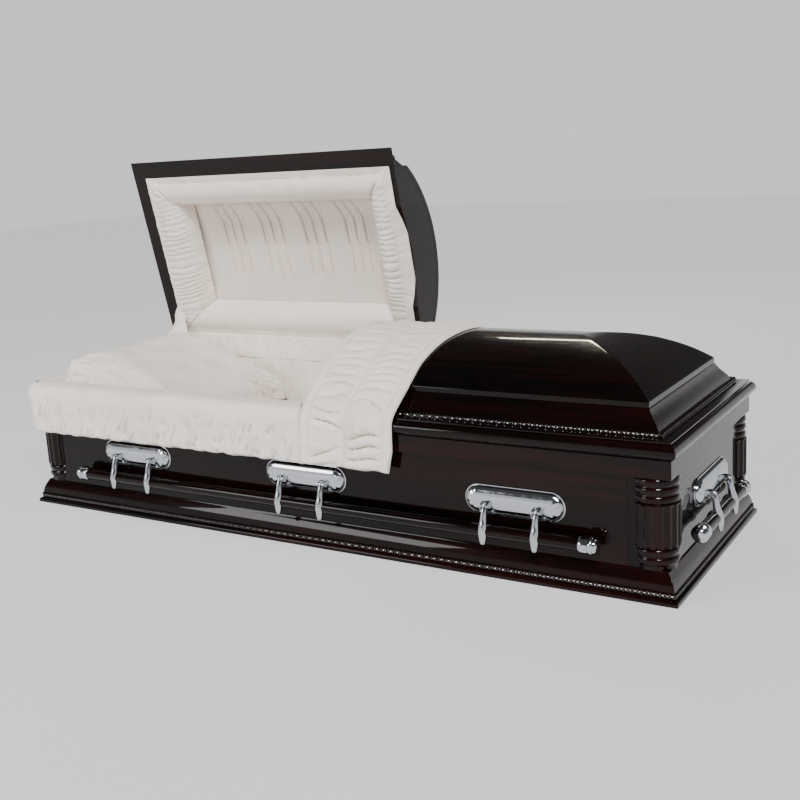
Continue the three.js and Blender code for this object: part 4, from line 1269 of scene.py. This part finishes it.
    def tucks(self, x, y):
        """Sewn pleats: a ridge beside a deep valley, fading downward; the upper row's fan out upward."""
        total = np.zeros(np.broadcast(x, y).shape)
        for start, end, strength in TUCK_ROWS:
            above, below = np.clip(start - y, 0, None), np.clip(y - end, 0, None)
            fan = 0.42 * above if strength == 1.0 else 0
            within = bell(below, 12 * MM) * np.where(above > 0, 0.62 * bell(above, 90 * MM), 1.0)
            wide = 1 + 0.8 * np.clip(above / (60 * MM), 0, 1)
            for place in TUCKS_MM:
                fanned = x - place * MM + fan
                ridge = bell(fanned - 7 * MM, 7 * MM * wide)
                valley = bell(fanned + 2.5 * MM, 4.2 * MM * wide)
                total += strength * within * (5.0 * MM * ridge - 13.0 * MM * valley)
        return total


class CASKET_OT_throw(Operator):
    """Drape the shirred throw over the foot lid's edge and down the front"""

    bl_idname = "casket.throw"
    bl_label = "Throw"

    def execute(self, context):
        crown = [(k / MM, z / MM) for k, z in crown_line(1.5 * MM, 30)]
        over = [(2 * HALF_WIDTH / MM - k, z) for k, z in reversed(crown)]
        rim = RIM_TOP / MM
        hang = [(-16.3, rim - 142), (-16.3, rim - 100), (-16.3, rim - 50), (-16.3, rim - 16),
                (-14.5, rim - 2), (-6, rim + 12), (14, rim + 31), (38, rim + 51), (60, rim + 69),
                (74, rim + 81)]
        reach = HALF_WIDTH / MM + 60
        outline = hang + [p for p in crown if p[0] > 84] + [p for p in over if p[0] < reach][1:]
        line, v = resampled(rounded(outline, 2), 3.2)
        total = float(v.max())
        height = line[:, 1]
        left = np.interp(height, [242, 300, 372, 395, 470, 560], [21.5, 24, 30.5, 31, 33, 34])
        right = np.interp(v, [0, 60, 150, 250, 340, 450, total], [304, 318, 321, 330, 333, 350, 386])
        left = np.where(v > 330, np.interp(v, [330, total], [33, 40]), left)
        t = np.linspace(0, 1, 92)
        x = left[:, None] * (1 - t) + right[:, None] * t
        v = v[:, None] * MM
        points = surface(x * MM, line[:, :1] * MM - HALF_WIDTH, line[:, 1:] * MM)
        strength = np.interp(v / MM, [0, 120, 260, 420, 560, total], [1.0, 1.25, 0.8, 0.45, 0.2, 0.1])
        lift = np.full(x.shape, 8.5 * MM)
        for start, end, seed in ((0.10, 0.475, 81), (0.525, 0.90, 84)):
            share = (t - start) / (end - start)
            window = np.clip(np.sin(math.pi * np.clip(share, 0, 1)), 0, 1) ** 0.5
            window = window[None, :] * ((share > 0) & (share < 1))[None, :]
            sag = 11 * MM * (4 * (share - 0.5) ** 2 - 1)[None, :] * (0.55 + 0.45 * np.sin(v * 31 + seed))
            folds = 0.88 * gathers(v + sag, x * MM * 0.5, 40 * MM, seed, 0.42, 1.5)
            folds = folds + 0.12 * gathers(v + sag, x * MM, 17 * MM, seed + 1, 0.8, 1.8)
            lift = lift + 17 * MM * strength * window * (folds - 0.78) + 4.6 * MM * strength * window
        for seam in (0.085, 0.5, 0.915):
            lift = lift - 2.0 * MM * bell(t - seam, 0.012)[None, :]
        hem = bell(v, 30 * MM)
        lift = lift + 0.9 * MM * soft_noise(x * MM, v, 0.05, 87)
        lift = lift + 3.0 * MM * hem * gathers(x * MM + 0.4 * v, v, 30 * MM, 88, 0.7, 1.4)
        lift = lift * (0.12 + 0.88 * edge_round(t[None, :] * 0.29, v, ((0, 0.29), (0, total * MM)), 8 * MM))
        points[:, :, 2] += 2.5 * MM * soft_noise(x * MM, v * 0, 0.07, 89) * hem
        pad("throw_cloth", points, np.maximum(lift, 1.5 * MM), "foot_lid", (0, -0.7, 0.7), ["throw"])
        return {"FINISHED"}


class CASKET_OT_stage(Operator):
    """Set up the floor, the soft studio lights and the camera"""

    bl_idname = "casket.stage"
    bl_label = "Stage"

    def execute(self, context):
        scene = context.scene
        floor = bpy.data.meshes.new("floor")
        reach = 14.0
        corners = [(-reach, -reach, 0), (reach, -reach, 0), (reach, reach, 0), (-reach, reach, 0)]
        floor.from_pydata(corners, [], [(0, 1, 2, 3)])
        material, _, _, shader = new_material("pale_floor")
        shader.inputs["Base Color"].default_value = grey(0.86)
        shader.inputs["Roughness"].default_value = 0.9
        floor.materials.append(material)
        linked("floor", floor)
        scene.world = studio_world()
        warm, white = (1.0, 0.93, 0.74), (1, 1, 1)
        area_lamp("front_left", look_at((-2.6, -3.9, 1.9), (-0.5, 0, 0.4)), (1.8, 1.4), 75, white)
        area_lamp("front_right", look_at((2.6, -2.6, 3.0), (-0.2, 0, 0.4)), (1.0, 1.0), 40, white)
        key = linked("key", bpy.data.lights.new("key", "SUN"), look_at((0.9, -1.75, 2.6), (0, 0, 0.4)))
        key.data.energy = 3.6
        key.data.angle = math.radians(13)
        for name, start, end, power in (
                ("tube_lamp_back", (-1.25, 3.04, 2.5), (-0.74, 3.37, 2.5), 6),
                ("tube_lamp_side", (-0.74, 3.35, 2.5), (-0.12, 1.67, 2.5), 9)):
            length = float(np.linalg.norm(np.subtract(end, start)))
            area_lamp(name, strip_matrix(start, end, (0.7, 0, 0.5)), (length, 0.05), power, warm)
        camera = bpy.data.cameras.new("photo_camera")
        camera.sensor_fit = "HORIZONTAL"
        camera.sensor_width = SENSOR_MM
        camera.lens = FOCAL_PX * SENSOR_MM / PHOTO_WIDTH_PX
        camera.shift_x = (PHOTO_WIDTH_PX / 2 - PRINCIPAL_PX[0]) / PHOTO_WIDTH_PX
        camera.shift_y = (PRINCIPAL_PX[1] - PHOTO_WIDTH_PX / 2) / PHOTO_WIDTH_PX
        camera.clip_end = 60
        scene.camera = linked("photo_camera", camera, camera_matrix())
        return {"FINISHED"}


def linked(name, data, matrix=None):
    """A new object of the data, in the scene."""
    thing = bpy.data.objects.new(name, data)
    if matrix is not None:
        thing.matrix_world = matrix
    bpy.context.scene.collection.objects.link(thing)
    return thing


def studio_world():
    """Pale near the horizon and dark above, so that the lacquer stays dark."""
    world = bpy.data.worlds.new("studio")
    world.use_nodes = True
    nodes, links = world.node_tree.nodes, world.node_tree.links
    place = nodes.new("ShaderNodeTexCoord")
    split = nodes.new("ShaderNodeSeparateXYZ")
    links.new(place.outputs["Generated"], split.inputs["Vector"])
    stops = [(0.0, grey(0.9)), (0.16, grey(0.85)), (0.27, grey(0.08))]
    sky = ramp_node(nodes, links, split.outputs["Z"], stops)
    links.new(sky.outputs["Color"], nodes["Background"].inputs["Color"])
    nodes["Background"].inputs["Strength"].default_value = 1.0
    return world


def area_lamp(name, matrix, size, power, colour):
    light = bpy.data.lights.new(name, "AREA")
    light.shape = "RECTANGLE"
    light.size, light.size_y = size
    light.energy = power
    light.color = colour
    return linked(name, light, matrix)


def axes_matrix(right, up, back, place):
    return Matrix([[right[i], up[i], back[i], place[i]] for i in range(3)] + [[0, 0, 0, 1]])


def look_at(place, aim):
    """A lamp or camera at a place, upright and turned to its aim."""
    back = np.array(place, float) - np.array(aim, float)
    back /= np.linalg.norm(back)
    right = np.cross((0, 0, 1), back)
    right /= np.linalg.norm(right)
    up = np.cross(back, right)
    return axes_matrix(right, up, back, place)


def strip_matrix(start, end, aim):
    """A lamp whose long side runs from start to end and which shines at aim."""
    start, end = np.array(start, float), np.array(end, float)
    middle = (start + end) / 2
    along = (end - start) / np.linalg.norm(end - start)
    back = middle - np.array(aim, float)
    back -= along * float(back @ along)
    back /= np.linalg.norm(back)
    across = np.cross(back, along)
    return axes_matrix(along, across, back, middle)


def camera_matrix():
    """Where the photograph's camera stood and how it was turned."""
    turn, tilt, roll = CAMERA_TURN, CAMERA_TILT, CAMERA_ROLL
    back = np.array([math.sin(turn) * math.cos(tilt), -math.cos(turn) * math.cos(tilt), math.sin(tilt)])
    level = np.array([math.cos(turn), math.sin(turn), 0])
    upright = np.cross(back, level)
    right = math.cos(roll) * level + math.sin(roll) * upright
    up = -math.sin(roll) * level + math.cos(roll) * upright
    return axes_matrix(right, up, back, CAMERA_PLACE)


STEPS = (
    CASKET_OT_stage, CASKET_OT_mouldings, CASKET_OT_lids, CASKET_OT_columns, CASKET_OT_boards,
    CASKET_OT_handles, CASKET_OT_body_cloth, CASKET_OT_extendover, CASKET_OT_pillow, CASKET_OT_lid_cloth,
    CASKET_OT_throw)


class CASKET_PT_panel(Panel):
    """Lists the casket's finishes and the steps that make it"""

    bl_idname = "CASKET_PT_panel"
    bl_label = "Casket"
    bl_space_type = "VIEW_3D"
    bl_region_type = "UI"
    bl_category = SIDEBAR_TAB

    def draw(self, context):
        scene = context.scene
        for group in (scene.casket_wood, scene.casket_cloth, scene.casket_chrome):
            box = self.layout.box()
            for key in group.bl_rna.properties.keys():
                if key not in ("rna_type", "name"):
                    box.prop(group, key)
        for step in STEPS:
            self.layout.operator(step.bl_idname)


GROUPS = {
    "casket_wood": CasketWoodFinish,
    "casket_cloth": CasketClothFinish,
    "casket_chrome": CasketChromeFinish,
}


def register():
    for item in (*GROUPS.values(), *STEPS, CASKET_PT_panel):
        bpy.utils.register_class(item)
    for name, group in GROUPS.items():
        setattr(bpy.types.Scene, name, PointerProperty(type=group))


def unregister():
    for name in GROUPS:
        delattr(bpy.types.Scene, name)
    for item in (CASKET_PT_panel, *reversed(STEPS), *GROUPS.values()):
        bpy.utils.unregister_class(item)


def main():
    register()
    bpy.ops.casket.stage()
    bpy.ops.casket.mouldings()
    bpy.ops.casket.lids()
    bpy.ops.casket.columns()
    bpy.ops.casket.boards()
    bpy.ops.casket.handles()
    bpy.ops.casket.body_cloth()
    bpy.ops.casket.extendover()
    bpy.ops.casket.pillow()
    bpy.ops.casket.lid_cloth()
    bpy.ops.casket.throw()


if __name__ == "__main__":
    main()
